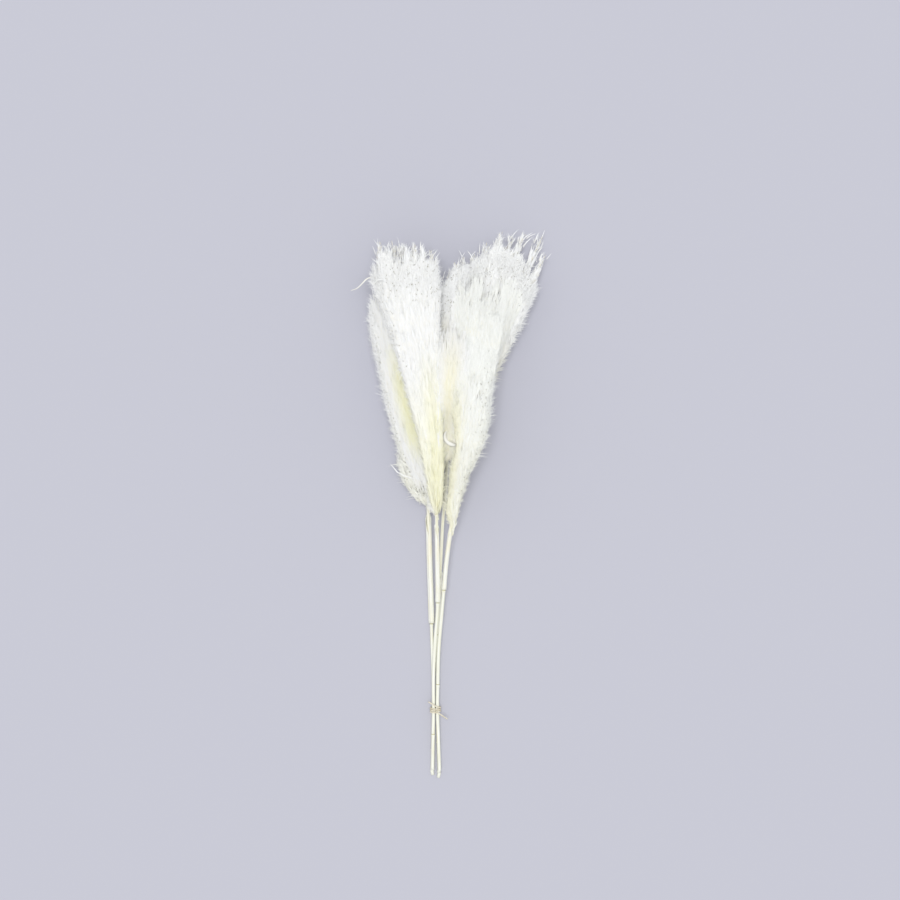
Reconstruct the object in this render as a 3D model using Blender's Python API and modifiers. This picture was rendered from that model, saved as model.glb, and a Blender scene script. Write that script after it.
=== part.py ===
"""A tied bundle of four bleached silver grass stems, lying on a table.

The plumes point along +Y, +X is to the right and +Z is up. Two stems, with their plumes, lie on the table and
the other two lie on them. Each plume is a fan of feathery branches on a central rachis, which is the stem's own
upper end. The bundle is first laid out with the middle of the tie at x = 0, y = 0, and is then moved so that the
origin is at the centre of its footprint.
"""

import math
import random

import bmesh
import bpy
from mathutils import Vector

MM = 0.001
GAP = 0.35 * MM  # kept between any two pieces

# Stems. Widths are radii.
STEM_CUT_RADIUS = 2.1 * MM
STEM_TOP_RADIUS = 1.8 * MM
RACHIS_TIP_RADIUS = 0.7 * MM
RACHIS_SHARE = 0.3  # of the plume's length
NODE_SWELLING = 0.12  # of the stem's radius, at each ring
NODE_HALF_LENGTH = 2.2 * MM
SHEATH_WALL = 0.45 * MM
STEM_STEP = 11 * MM
STEM_SIDES = 8

# Plume branches. Each is wider than it is high, as it lies on those below it.
BRANCH_RADIUS = 6.0 * MM  # half the height
BRANCH_WIDENING = 1.3
BRANCH_LEAST_RADIUS = 0.42 * MM
FIRST_ROW_OFFSET = 3.6 * MM  # from the rachis to the rows above and below it, where the plume starts
FULL_PITCH_SHARE = 0.35  # of the plume's length, where the rows reach their full distance
BRANCH_POINTS = 12
PRESSED_DROP = 1.7 * MM  # how far the lowest row is pressed down onto the table

# Layers: the two lower plumes fill the first, and the two upper ones the second.
LAYER_AT_TIE = 4.7 * MM
LAYER_FULL = 37.2 * MM
LAYER_RISE = (36 * MM, 320 * MM)
LAYER_FALL = (400 * MM, 520 * MM)
LAYER_FALL_SHARE = 0.25
TIE_LIFT = 2.0 * MM
TIE_LIFT_LENGTH = 32 * MM

# Tie: a cotton twine, wound three times.
TWINE_RADIUS = 0.8 * MM
TIE_TURNS = 3
TIE_POINTS_A_TURN = 20
TIE_TAIL = 13 * MM

LEAF_TIP_HEIGHT = 56 * MM

# Each stem, with places in mm: its layer, its sideways place at some distances from the tie, its rings, and
# where its leaf sheath starts and ends and how loosely it fits.
STEMS = {
    1: {
        "layer": 0,
        "route": [(-72, -4.6), (0, -2.9), (35, -3.3), (78, -4.7), (121, -5.9), (164, -7.3), (207, -8.3), (226, -8.8)],
        "rings": [-44, 92],
        "sheath": (94, 214, 0.55),
    },
    2: {
        "layer": 1,
        "route": [(-66, -4.0), (0, -2.9), (35, -3.0), (78, -0.9), (99, 0.9), (121, 1.8), (164, 1.4), (216, 0.6)],
        "rings": [-28, 116, 209],
        "sheath": (118, 205, 0.35),
    },
    3: {
        "layer": 0,
        "route": [(-75, 3.4), (0, 1.5), (35, 1.5), (78, 1.9), (121, 3.0), (164, 5.2), (207, 7.4), (240, 10.2), (276, 12.4)],
        "rings": [-36, 80],
        "sheath": (82, 152, 0.35),
    },
    4: {
        "layer": 1,
        "route": [(-69, 3.8), (0, 1.5), (26, 1.8), (56, 2.5), (78, 3.8), (99, 5.7), (121, 7.6), (164, 11.4), (211, 17.6)],
        "rings": [26, 130],
        "sheath": (132, 203, 0.35),
    },
}

# Each plume, in mm: its length, where its middle line goes sideways, how its fan of branches opens, and its rows
# of branches from the lowest to the highest. Both t and a branch's end are shares of the plume's length. A branch
# is (distance from the middle line where the fan is fully open, end). Where a plume "thins", its rows draw closer,
# from one share of its length to another, by a share of their distance, so that its tips come to lie on the plume
# below. Where it is "raised", its branches beyond an offset stand up by so much more in each row.
PLUMES = {
    1: {
        "length": 236,
        "middle": lambda t: -32 * t * (2 - t),
        "opening": lambda t: t**0.45,
        "rows": [
            [(-26, 0.92), (-8, 0.96), (10, 0.95), (28, 0.82)],
            [(-28, 0.88), (-9, 0.98), (9, 1.0), (27, 0.86)],
            [(-25, 0.95), (-7, 0.97), (10, 0.9), (26, 0.78)],
        ],
    },
    2: {
        "length": 290,
        "middle": lambda t: -35.5 * smoothstep(-0.05, 1.05, t),
        "opening": lambda t: (t + 0.08) / 1.08,
        "rows": [
            [(-30, 0.97), (-10, 0.99), (10, 0.96), (31, 0.94)],
            [(-31, 0.93), (-12, 1.0), (9, 0.98), (30, 0.97)],
            [(-26, 1.0), (-7, 0.97), (12, 0.99), (31, 0.96)],
        ],
    },
    3: {
        "length": 242,
        "middle": lambda t: 57 * t,
        "opening": lambda t: (t + 0.06) / 1.06,
        "raised": (-45, 8),
        "rows": [
            [(-51, 0.84), (-26, 0.9), (-1, 0.97), (26, 0.97), (56, 0.77)],
            [(-57, 0.8), (-36, 0.89), (-12, 0.95), (14, 0.99), (47, 0.99)],
            [(-47, 0.86), (-23, 0.9), (1, 1.0), (26, 1.0), (60, 0.9)],
        ],
    },
    4: {
        "length": 232,
        "middle": lambda t: 27 * math.sin(math.pi / 2 * min(t / 0.8, 1)) + 14 * smoothstep(0.55, 1.1, t),
        "opening": lambda t: min(0.3 + 1.6 * t, 1 + 0.3 * t),
        "thins": (0.5, 1.0, 0.6),
        "rows": [
            [(-8.5, 0.9), (8.5, 0.86)],
            [(-10.5, 0.93), (0, 1.0), (10.5, 0.88)],
            [(-9.5, 0.98), (8, 0.91)],
        ],
    },
}

COLOURS = {
    "stem": (0.80, 0.78, 0.62),
    "sheath": (0.86, 0.83, 0.70),
    "plume": (0.90, 0.90, 0.84),
    "leaf": (0.92, 0.89, 0.76),
    "twine": (0.78, 0.74, 0.62),
}


def clear_scene():
    for obj in list(bpy.data.objects):
        bpy.data.objects.remove(obj)


def smoothstep(low, high, value):
    t = min(max((value - low) / (high - low), 0.0), 1.0)
    return t * t * (3 - 2 * t)


def through(points, at):
    """Value at a place on a smooth curve through (place, value) points, and straight on beyond its ends."""
    places = [p for p, _ in points]
    values = [v for _, v in points]
    last = len(points) - 1
    i = min(max(sum(p <= at for p in places) - 1, 0), last - 1)

    def slope(k):
        low, high = max(k - 1, 0), min(k + 1, last)
        return (values[high] - values[low]) / (places[high] - places[low])

    step = places[i + 1] - places[i]
    t = (at - places[i]) / step
    if not 0 <= t <= 1:
        end = i if t < 0 else i + 1
        return values[end] + slope(end) * (at - places[end])
    return (
        values[i] * (1 + 2 * t) * (1 - t) ** 2
        + values[i + 1] * t * t * (3 - 2 * t)
        + step * slope(i) * t * (1 - t) ** 2
        + step * slope(i + 1) * t * t * (t - 1)
    )


def layer_height(y):
    rise = smoothstep(*LAYER_RISE, y)
    fall = LAYER_FALL_SHARE * smoothstep(*LAYER_FALL, y)
    return (LAYER_AT_TIE + (LAYER_FULL - LAYER_AT_TIE) * rise) * (1 - fall)


def layer_middle(layer, y):
    """Height of the middle of a layer above the table."""
    lift = TIE_LIFT * math.exp(-((y / TIE_LIFT_LENGTH) ** 2))
    return lift + layer_height(y) * (layer + 0.5) + GAP * layer


def stem_x(number, y):
    return through([(p * MM, x * MM) for p, x in STEMS[number]["route"]], y)


def plume_base(number):
    return STEMS[number]["route"][-1][0] * MM


def plume_x(number, t, offset):
    """Sideways place in a plume, at an offset from its middle line where the fan is fully open."""
    plume = PLUMES[number]
    return stem_x(number, plume_base(number)) + plume["middle"](t) * MM + offset * plume["opening"](t)


def plume_point(number, t, offset, row=0):
    """A point in a plume, in its row -1, 0 or 1."""
    y = plume_base(number) + PLUMES[number]["length"] * MM * t
    layer = STEMS[number]["layer"]
    z = layer_middle(layer, y) + row * row_pitch(number, t) - 0.5 * layer_height(y) * thinning(number, t)
    beyond, step = PLUMES[number].get("raised", (-1000, 0))
    if offset < beyond * MM:
        z += step * MM * (row + 1) * smoothstep(0.0, 0.3, t) * (1 - 0.5 * smoothstep(0.6, 1.0, t))
    if layer == 0 and row == -1:
        z -= PRESSED_DROP * smoothstep(0.1, FULL_PITCH_SHARE, t)
    return Vector((plume_x(number, t, offset), y, z))


def thinning(number, t):
    low, high, share = PLUMES[number].get("thins", (0, 1, 0))
    return share * smoothstep(low, high, t)


def row_pitch(number, t):
    """Distance between a plume's rows of branches."""
    y = plume_base(number) + PLUMES[number]["length"] * MM * t
    most = layer_height(y) / 3 * (1 - thinning(number, t))
    return min(most, FIRST_ROW_OFFSET + (LAYER_FULL / 3 - FIRST_ROW_OFFSET) * smoothstep(0, FULL_PITCH_SHARE, t))


def rachis_radius(t):
    return STEM_TOP_RADIUS + (RACHIS_TIP_RADIUS - STEM_TOP_RADIUS) * min(t / RACHIS_SHARE, 1)


def stem_radius(number, y):
    """Radius of a stem below its plume, with a ring at each node."""
    cut = STEMS[number]["route"][0][0] * MM
    share = (y - cut) / (plume_base(number) - cut)
    radius = STEM_CUT_RADIUS + (STEM_TOP_RADIUS - STEM_CUT_RADIUS) * share
    for ring in STEMS[number]["rings"]:
        if abs(y - ring * MM) < NODE_HALF_LENGTH / 2:
            radius *= 1 + NODE_SWELLING
    return radius


def material(name):
    made = bpy.data.materials.get(name) or bpy.data.materials.new(name)
    made.use_nodes = True
    shader = made.node_tree.nodes["Principled BSDF"]
    shader.inputs["Base Color"].default_value = (*COLOURS[name], 1)
    shader.inputs["Roughness"].default_value = 0.75
    shader.inputs["Metallic"].default_value = 0.0
    return made


def tube(name, points, radii, look, sides=8, capped=True):
    """A curve object that is a round tube along points, with its own radius at each."""
    data = bpy.data.curves.new(name, "CURVE")
    data.dimensions = "3D"
    data.bevel_depth = 1.0
    data.bevel_resolution = sides // 2 - 2
    data.use_fill_caps = capped
    spline = data.splines.new("POLY")
    spline.points.add(len(points) - 1)
    for place, point, radius in zip(spline.points, points, radii):
        place.co = (*point, 1)
        place.radius = radius
    obj = bpy.data.objects.new(name, data)
    bundle.objects.link(obj)
    data.materials.append(material(look))
    for spline in data.splines:
        spline.use_smooth = True
    return obj


def as_mesh(obj):
    """The same shape as a mesh object, with the caps welded to the tube."""
    bpy.context.view_layer.update()
    evaluated = obj.evaluated_get(bpy.context.evaluated_depsgraph_get())
    mesh = bpy.data.meshes.new_from_object(evaluated)
    mesh.transform(obj.matrix_world)
    name = obj.name
    bpy.data.objects.remove(obj)
    made = bpy.data.objects.new(name, mesh)
    bundle.objects.link(made)
    form = bmesh.new()
    form.from_mesh(mesh)
    bmesh.ops.remove_doubles(form, verts=form.verts, dist=0.01 * MM)
    form.to_mesh(mesh)
    form.free()
    mesh.name = name
    return made


def make_stem(number):
    """A culm from its cut end to the base of the plume, going on inside the plume as the rachis."""
    stem = STEMS[number]
    cut, top = stem["route"][0][0] * MM, plume_base(number)
    count = round((top - cut) / STEM_STEP)
    places = [cut + (top - cut) * i / count for i in range(count)]
    for ring in stem["rings"]:
        middle = ring * MM
        places = [y for y in places if abs(y - middle) > 1.5 * NODE_HALF_LENGTH]
        places += [middle + NODE_HALF_LENGTH * step for step in (-1, -0.4, 0.4, 1)]
    places.sort()
    points = [Vector((stem_x(number, y), y, layer_middle(stem["layer"], y))) for y in places]
    radii = [stem_radius(number, y) for y in places]
    rachis_steps = 8
    for i in range(rachis_steps + 1):
        t = RACHIS_SHARE * i / rachis_steps
        points.append(plume_point(number, t, 0.0))
        radii.append(rachis_radius(t))
    return tube(f"stem_{number}", points, radii, "stem", STEM_SIDES)


def make_sheath(number):
    """A leaf sheath: a thin tube round the stem from one of its rings, split along its upper side."""
    low, high, slack = (value * MM for value in STEMS[number]["sheath"])
    layer, steps, sides = STEMS[number]["layer"], 8, 10
    places = [low + (high - low) * i / steps for i in range(steps + 1)]
    points = [Vector((stem_x(number, y), y, layer_middle(layer, y))) for y in places]
    radii = [stem_radius(number, y) + slack for y in places]
    radii[0] = stem_radius(number, STEMS[number]["rings"][1] * MM) + GAP
    obj = as_mesh(tube(f"leaf_sheath_{number}", points, radii, "sheath", sides, capped=False))
    form = bmesh.new()
    form.from_mesh(obj.data)
    slit = []
    for face in form.faces:
        middle = face.calc_center_median()
        share = (middle.y - low) / (high - low)
        outward = (middle - Vector((stem_x(number, middle.y), middle.y, layer_middle(layer, middle.y)))).normalized()
        open_to = math.cos(math.radians(20 + 75 * smoothstep(0.7, 1.0, share)))
        if outward.z > open_to:
            slit.append(face)
    bmesh.ops.delete(form, geom=slit, context="FACES")
    bmesh.ops.recalc_face_normals(form, faces=form.faces)
    form.to_mesh(obj.data)
    form.free()
    wall = obj.modifiers.new("wall", "SOLIDIFY")
    wall.thickness = SHEATH_WALL
    wall.offset = 1
    return obj


def rachis_room(number, t, offset, row):
    """Room between a branch's centre line and the rachis."""
    if t > RACHIS_SHARE + 0.06:
        return BRANCH_RADIUS * BRANCH_WIDENING
    across = offset * PLUMES[number]["opening"](t)
    return math.hypot(across, row * row_pitch(number, t)) - rachis_radius(t) - 1.6 * GAP


def branch_start(number, offset, row, nearest):
    """Share of the plume's length from which a branch is clear of the rachis and of its neighbours."""
    needed = BRANCH_LEAST_RADIUS * BRANCH_WIDENING
    step = 0.005
    t = RACHIS_SHARE + 0.02
    while t > 0.03:
        beside = nearest * PLUMES[number]["opening"](t - step) - GAP
        if rachis_room(number, t - step, offset, row) < needed or beside < 2 * needed:
            return t
        t -= step
    return t


def branch_radius(number, t, offset, row, share, nearest):
    """Half a branch's height: thin at the rachis, full in the middle, thin at the tip, and clear of its neighbours."""
    step = 0.01
    run = PLUMES[number]["length"] * MM * step
    slant = math.hypot(1, (plume_x(number, t + step, offset) - plume_x(number, t, offset)) / run)
    beside = (nearest * PLUMES[number]["opening"](t) / slant - GAP) / 2
    room = min(beside, rachis_room(number, t, offset, row) / slant) / BRANCH_WIDENING
    room = min(room, (row_pitch(number, t) - GAP) / 2)
    grown = BRANCH_RADIUS * smoothstep(-0.2, 0.3, share) * (1 - 0.86 * smoothstep(0.7, 1.05, share))
    return max(min(grown, room), BRANCH_LEAST_RADIUS)


def make_branches(number):
    """The feathery branches of one plume, each with its own bend, in three rows that lie on each other."""
    draw = random.Random(number)
    count = 0
    for row, branches in zip((-1, 0, 1), PLUMES[number]["rows"]):
        offsets = [offset * MM for offset, _ in branches]
        for offset, end in ((o * MM, e) for o, e in branches):
            spacing = min(abs(offset - other) for other in offsets if other != offset)
            nearest = spacing * 0.84
            start = branch_start(number, offset, row, nearest)
            points, radii = [], []
            bend = draw.uniform(-0.07, 0.07) * spacing
            for i in range(BRANCH_POINTS):
                share = i / (BRANCH_POINTS - 1)
                t = start + (end - start) * share
                point = plume_point(number, t, offset, row)
                point.x += bend * math.sin(math.pi * share) * share
                point.x /= BRANCH_WIDENING
                points.append(point)
                radii.append(branch_radius(number, t, offset, row, share, nearest))
            count += 1
            pressed = STEMS[number]["layer"] == 0 and row == -1
            obj = tube(f"plume_{number}_branch_{count:02d}", points, radii, "plume", 12 if pressed else 8)
            obj.scale.x = BRANCH_WIDENING
            obj = as_mesh(obj)
            for vertex in obj.data.vertices:
                vertex.co.z = max(vertex.co.z, 0.0)
            if pressed:
                obj.data.set_sharp_from_angle(angle=math.radians(40))


def make_tie():
    """Twine wound round the four stems, its two ends standing off at the top as short tails."""
    left, right = stem_x(1, 0), stem_x(3, 0)
    low, high = layer_middle(0, 0), layer_middle(1, 0)
    middle, across, up = Vector(((left + right) / 2, 0, (low + high) / 2)), (right - left) / 2, (high - low) / 2
    reach = stem_radius(1, 0) + GAP + TWINE_RADIUS
    pitch = 2 * TWINE_RADIUS + GAP
    points = []
    steps = TIE_TURNS * TIE_POINTS_A_TURN
    first_angle = math.radians(70)
    for i in range(steps + 1):
        turn = i / TIE_POINTS_A_TURN
        angle = first_angle + turn * 2 * math.pi
        # A square with its corners on the stems' axes, grown outward by the twine's reach.
        corner_x = across * max(-1.0, min(1.0, 2.2 * math.cos(angle)))
        corner_z = up * max(-1.0, min(1.0, 2.2 * math.sin(angle)))
        y = (turn - TIE_TURNS / 2) * pitch
        points.append(middle + Vector((corner_x + reach * math.cos(angle), y, corner_z + reach * math.sin(angle))))
    start, end = points[0], points[-1]
    tail_steps = 4
    before, after = [], []
    for i in range(1, tail_steps + 1):
        far = TIE_TAIL * i / tail_steps
        rise = far * 0.45
        before.append(start + Vector((far * 0.8, -0.5 * far, rise)))
        after.append(end + Vector((-far * 0.8, 0.5 * far, rise)))
    points = before[::-1] + points + after
    tube("twine_tie", points, [TWINE_RADIUS] * len(points), "twine", 8)


def make_strand(name, route, height, widths, look, count):
    """A thin strand along a sideways route, given in mm, at one height above the table."""
    points, radii = [], []
    for i in range(count + 1):
        place = (len(route) - 1) * i / count
        x = through([(k, p[0]) for k, p in enumerate(route)], place)
        y = through([(k, p[1]) for k, p in enumerate(route)], place)
        points.append(Vector((x * MM, y * MM, height + 1.2 * MM * math.sin(place))))
        radii.append(through([(k, width * MM) for k, width in enumerate(widths)], place))
    tube(name, points, radii, look, 6)


def make_curled_leaf():
    """A dry leaf tip, curled into a hook, that stands out between the two upper plumes."""
    route = [(21.0, 288.6), (16.5, 289.6), (12.2, 292.2), (9.6, 297.2), (10.6, 302), (13.6, 304.4)]
    widths = [1.0, 1.35, 1.2, 0.9, 0.65, 0.4]
    make_strand("curled_leaf_tip", route, LEAF_TIP_HEIGHT, widths, "leaf", 15)


def make_stray_branch():
    """One thin branch that stands away from the second plume's left edge."""
    route = [(-69, 467.8), (-74.5, 465.6), (-79, 461), (-84.5, 456), (-91, 453.6)]
    widths = [0.9, 0.95, 0.85, 0.7, 0.45]
    make_strand("stray_branch", route, layer_middle(1, 460 * MM), widths, "plume", 12)


def centre_on_footprint():
    """Moves every piece so that the middle of the bundle's footprint is the origin and the table is z = 0."""
    bpy.context.view_layer.update()
    graph = bpy.context.evaluated_depsgraph_get()
    corners = []
    for obj in bundle.objects:
        evaluated = obj.evaluated_get(graph)
        mesh = evaluated.to_mesh()
        corners += [evaluated.matrix_world @ vertex.co for vertex in mesh.vertices]
        evaluated.to_mesh_clear()
    middle_x = (min(c.x for c in corners) + max(c.x for c in corners)) / 2
    middle_y = (min(c.y for c in corners) + max(c.y for c in corners)) / 2
    holder = bpy.data.objects.new("bundle_origin", None)
    bundle.objects.link(holder)
    for obj in bundle.objects:
        if obj != holder:
            obj.parent = holder
    holder.location = (-middle_x, -middle_y, 0)
    print("layout moved by", round(middle_x / MM, 3), round(middle_y / MM, 3), "mm")


clear_scene()
bundle = bpy.data.collections.new("silver_grass_bundle")
bpy.context.scene.collection.children.link(bundle)
for stem_number in STEMS:
    make_stem(stem_number)
    make_sheath(stem_number)
    make_branches(stem_number)
make_tie()
make_curled_leaf()
make_stray_branch()
centre_on_footprint()
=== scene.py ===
"""The look of the silver grass bundle: fluffy plumes, ribbed stems, leaf sheaths and twine."""

import math
from types import SimpleNamespace

import bpy
import numpy as np
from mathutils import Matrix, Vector


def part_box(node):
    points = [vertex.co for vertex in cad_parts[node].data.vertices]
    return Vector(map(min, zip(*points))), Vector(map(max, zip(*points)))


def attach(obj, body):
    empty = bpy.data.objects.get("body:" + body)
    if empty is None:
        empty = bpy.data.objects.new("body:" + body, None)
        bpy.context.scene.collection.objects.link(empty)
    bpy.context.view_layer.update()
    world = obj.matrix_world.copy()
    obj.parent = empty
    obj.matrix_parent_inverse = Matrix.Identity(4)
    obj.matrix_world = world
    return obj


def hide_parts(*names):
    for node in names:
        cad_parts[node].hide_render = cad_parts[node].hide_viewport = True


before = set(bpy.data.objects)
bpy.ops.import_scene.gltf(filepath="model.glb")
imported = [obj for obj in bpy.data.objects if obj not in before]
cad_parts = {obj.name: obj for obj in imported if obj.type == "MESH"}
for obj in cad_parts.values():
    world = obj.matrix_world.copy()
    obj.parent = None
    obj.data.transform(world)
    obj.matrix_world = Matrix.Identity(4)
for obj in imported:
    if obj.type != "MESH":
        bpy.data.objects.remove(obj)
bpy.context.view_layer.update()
rng = np.random.default_rng(7)

MM = 0.001
BODY = "root"
UV_LAYER = "OFBake"
UP = np.array([0.0, 0.0, 1.0])
WHITE = (1, 1, 1)
PLUMES = (1, 2, 3, 4)
ROWS = {1: (4, 4, 4), 2: (4, 4, 4), 3: (5, 5, 5), 4: (2, 3, 2)}  # branches, from the lowest row up
LOWER, MIDDLE, UPPER = range(3)
ROW_NAMES = ("lower", "middle", "upper")
AXIS_SLOT, HUSK_SLOT, SHADE_SPECK_HUSK_SLOT = range(3)

# Hairs round each branch: the locks of down, silk and frizz for a mm of it, and their share in each row.
LOCKS_A_MM = {1: (1.6, 0.7, 0.4), 2: (1.8, 0.7, 0.35), 3: (1.8, 0.7, 0.35), 4: (2.0, 0.7, 0.4)}
ROW_DENSITY = (0.4, 0.5, 0.55)
BRANCH_SAMPLES, TRIMMED_SAMPLES, ONWARD_SAMPLES = 60, 40, 30
LEAST_FLUFF = 3.6 * MM  # around a branch where its CAD solid is thinner
WIDEST_FLUFF = 13.5 * MM
GAP_FILL = 0.8  # of the distance to the next branch in the row
INNER_SHARE, OUTER_SHARE = 0.55, 0.85  # of a solid's width: the least towards a neighbour, and to the outside
FINER = 0.9  # a strand between two branches, against them
SIDE_TIPS = 2  # fine points beside each branch's end
# The shares of a branch's length between which its fluff thins out to a finger, and the finger's share of
# the width, for the leftmost and the rightmost branch of a row, and for the strands between branches.
NARROWING = {
    1: ((0.84, 0.98, 0.18), (0.84, 0.96, 0.18)),
    2: ((0.86, 0.95, 0.3), (0.86, 0.95, 0.3)),
    3: ((0.86, 0.95, 0.3), (0.78, 0.92, 0.5)),
    4: ((0.80, 1.0, 0.18), (0.80, 1.0, 0.18)),
}
NARROWING_BETWEEN = (0.88, 0.97, 0.25)
# The strand between each two neighbours in a row ends at these shares of their length, from the left.
BETWEEN_ENDS = {1: (0.95, 0.98), 2: (1.0, 0.99), 3: (1.0, 0.84), 4: (0.97, 0.95)}
END_JITTER = 0.02
FOOT = {1: (9, 0), 2: (9, 0), 3: (0, 0), 4: (20, 3)}  # mm by which fluff starts below its solids, and aside
# How far in mm the fluff goes past a plume's left and right outermost solids, at shares of their length.
LEFT_SIDE = {
    1: ((0, 2), (0.07, 6), (0.13, 8), (0.18, 6.5), (0.25, 0), (0.3, -1), (0.75, -1), (0.88, 3.5)),
    2: ((0.05, 0), (0.15, -3), (0.3, -6), (0.55, -6), (0.72, -1), (0.82, 0), (0.92, 6), (1, 6)),
    3: ((0, 2), (0.5, 1), (0.75, 1), (1, 2)),
    4: ((0, 2.5), (0.24, 2.5), (0.34, 0), (0.44, 1), (0.56, 6), (0.7, 6), (1, 0)),
}
RIGHT_SIDE = {
    1: ((0, 2),),
    2: ((0, 3), (0.5, 2), (0.7, 3.3), (0.81, 4.5), (0.9, 4), (1, 2)),
    3: ((0, 1),),
    4: ((0.12, -2), (0.24, -3), (0.3, -1), (0.36, 2), (0.45, 4), (0.52, 3), (0.6, 0.5), (1, 0)),
}

# The mantle: clumps of fine hairs on the smooth surface over each plume's upper row. It ends at these shares
# of the branches' length, from the leftmost to the rightmost.
MANTLE_CLUMPS = {1: 2500, 2: 5000, 3: 5400, 4: 3500}
MANTLE_ENDS = {1: (0.97, 0.97), 2: (0.95, 0.95), 3: (0.94, 0.95, 0.94, 0.94, 0.9, 0.84), 4: (1.02, 1.02)}
TUFTS_A_BRANCH, TUFT_DEPTH = 5, 0.06  # of its ragged end, and how deep it is as a share of the length
PARTINGS_A_BRANCH = 2.6
PARTING = {1: 0.1, 2: 0.1, 3: 0.18, 4: 0.1}  # how wide its hairs part, as a share of a streak's width
PARTING_RUN = (0.4, 0.95)  # where along it they start to part and where they part most
MANTLE_CROWDING, SIDE_CROWDING = 0.62, 0.8  # the smaller, the more hairs towards their end
UNDER_PARTING, OVER_TO_UNDER = 0.1, 3  # hairs also lie under the lower row, a third as many
SIDE_CLUMPS, FRINGE_EVERY = 900, 4  # on a plume's flank, and how many of them to a clump of its fringe
SIDE_BULGE, SIDE_LEAN = 0.35, 0.3
EDGE_CLUMPS = {1: 1300, 2: 900, 3: 1200, 4: 1200}
END_CLUMPS = {1: 500, 2: 1000, 3: 1200, 4: 400}
# How far beyond the outer branches the fringe stands, how much it leans out, and where it lies along its end.
FRINGE_BEYOND, FRINGE_LEAN, END_RUN = (0.3, 1.05), (0.1, 0.7), (0.93, 1.03)
# Where the middle row reaches further left than the upper one, the surface takes in its leftmost branch,
# stood higher by so many mm.
LEFT_SHOULDER = {2: 7, 3: 18}
# The frizzy parts of each plume's top surface: their ranges across it, counted in branches from its leftmost,
# and along it, and how many curls lie there.
CURLS = {
    1: (((-1, 2.5), (0.03, 0.98), 1700), ((2.5, 4), (0.65, 0.98), 150)),
    2: (((-1, 1.2), (0.55, 0.98), 360), ((1, 5), (0.82, 1.0), 300)),
    3: (((-1, 5), (0.8, 1.0), 420), ((4, 5), (0.4, 0.9), 260)),
    4: (((0.8, 2), (0.15, 0.9), 330),),
}
HUSK_SPACING = 6.5 * MM  # along a branch's axis
HUSK_WIDEST, HUSK_FLATNESS = 0.4, 0.7  # how far along it is widest, and its thickness to its width
HUSK_LENGTH, HUSK_RADIUS = (3.6 * MM, 5.2 * MM), 0.42 * MM
CURLS_TO_HUSK = 4
CURL_TURN, HUSK_TURN = 0.9, 0.8  # how far they turn away from the branches' direction
# husks among the curls, coloured dark as painted shade for the gaps between them
SHADE_SPECK_HUSK_LENGTH, SHADE_SPECK_HUSK_RADIUS = (1.8 * MM, 3.0 * MM), 0.4 * MM
# Single locks that show in the photo: points in mm along each.
LOCKS = {
    1: (
        [(-38, 30, 27), (-48, 33, 27), (-56, 37, 25), (-60, 42, 24), (-64, 46.5, 23)],
        [(-72.5, 199, 40), (-70.5, 190, 42), (-65.5, 184, 45), (-58, 181.5, 53)],
    ),
    2: ([(-80, 238, 66), (-74, 243, 68), (-67, 240.5, 69), (-62, 237, 69)],),
}

# Each plume's tone at its foot, the shares of its length over which it whitens, and the warmer, darker tone
# next to the bundle's heart, painted shade where the plumes meet: its side, its place across, its shares of
# the length and its amount.
TONE_AND_HEART_SHADE = {
    1: (0.6, (0, 0.85), 1, -0.7, (0.15, 0.42, 0.72, 0.92), 0.75),
    2: (0.1, (0.02, 0.75), 1, -0.3, (0.0, 0.15, 0.4, 0.75), 0.45),
    3: (0.2, (0, 0.85), -1, -0.2, (-0.2, 0.0, 0.45, 0.75), 0.4),
    4: (0.45, (0, 0.85), -1, 0.1, (-0.2, 0.0, 0.5, 0.85), 0.75),
}
HEART_SHADE_EDGE = 0.7  # how far across a plume the painted heart shade sets in
INSIDE_SHADE = 0.25  # how much deeper the tone is painted inside a plume, as painted shade
LEAST_TONE, MOST_TONE = 0.02, 0.98
BAND_START, BAND_END = 0.05, 0.95  # where a hair lies in its band of the texture
UV_HALF_WIDTH = 0.002

ENVELOPE_SAMPLES, ENVELOPE_BLUR = 80, 7
ENVELOPE_MARGINS = 3 * MM, 2 * MM  # across and up
LOOSE_TOP, PRESSING = 1.0 * MM, 0.3  # how hairs that reach past the solids' heights are brought nearer
FLOOR_CLEARANCE = 0.25 * MM
LEAF_CLEARING = 1.9 * MM  # no hair passes over the curled leaf tip's middle line this near to it
SHOWING_LEAF_POINTS = 22  # of that line, whose rest goes in under the hairs
EDGE_TURN = math.radians(105)  # how far the surface over a row bends down at its edges
# A ribbon's width before its point, by how many widths it has.
RIBBON_PROFILES = {2: (0.75, 1.0), 3: (0.7, 1.0, 0.75), 4: (0.7, 1.0, 0.9, 0.6)}
WIDTH_SPREAD, FINE_WIDTH_SPREAD = (0.6, 1.3), (0.7, 1.3)  # shares of a kind's width
LOCK_SPREAD, CLUMP_SPREAD, WISP_SPREAD = (0.72, 1.08), (0.75, 1.1), (0.85, 1.05)  # shares of a lock's length
LOCK_TINT, CLUMP_TINT = 0.035, 0.05  # how far a lock's tone strays
HEART_THINNING = 0.9  # the share of locks that are left out on a plume's middle line

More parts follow.
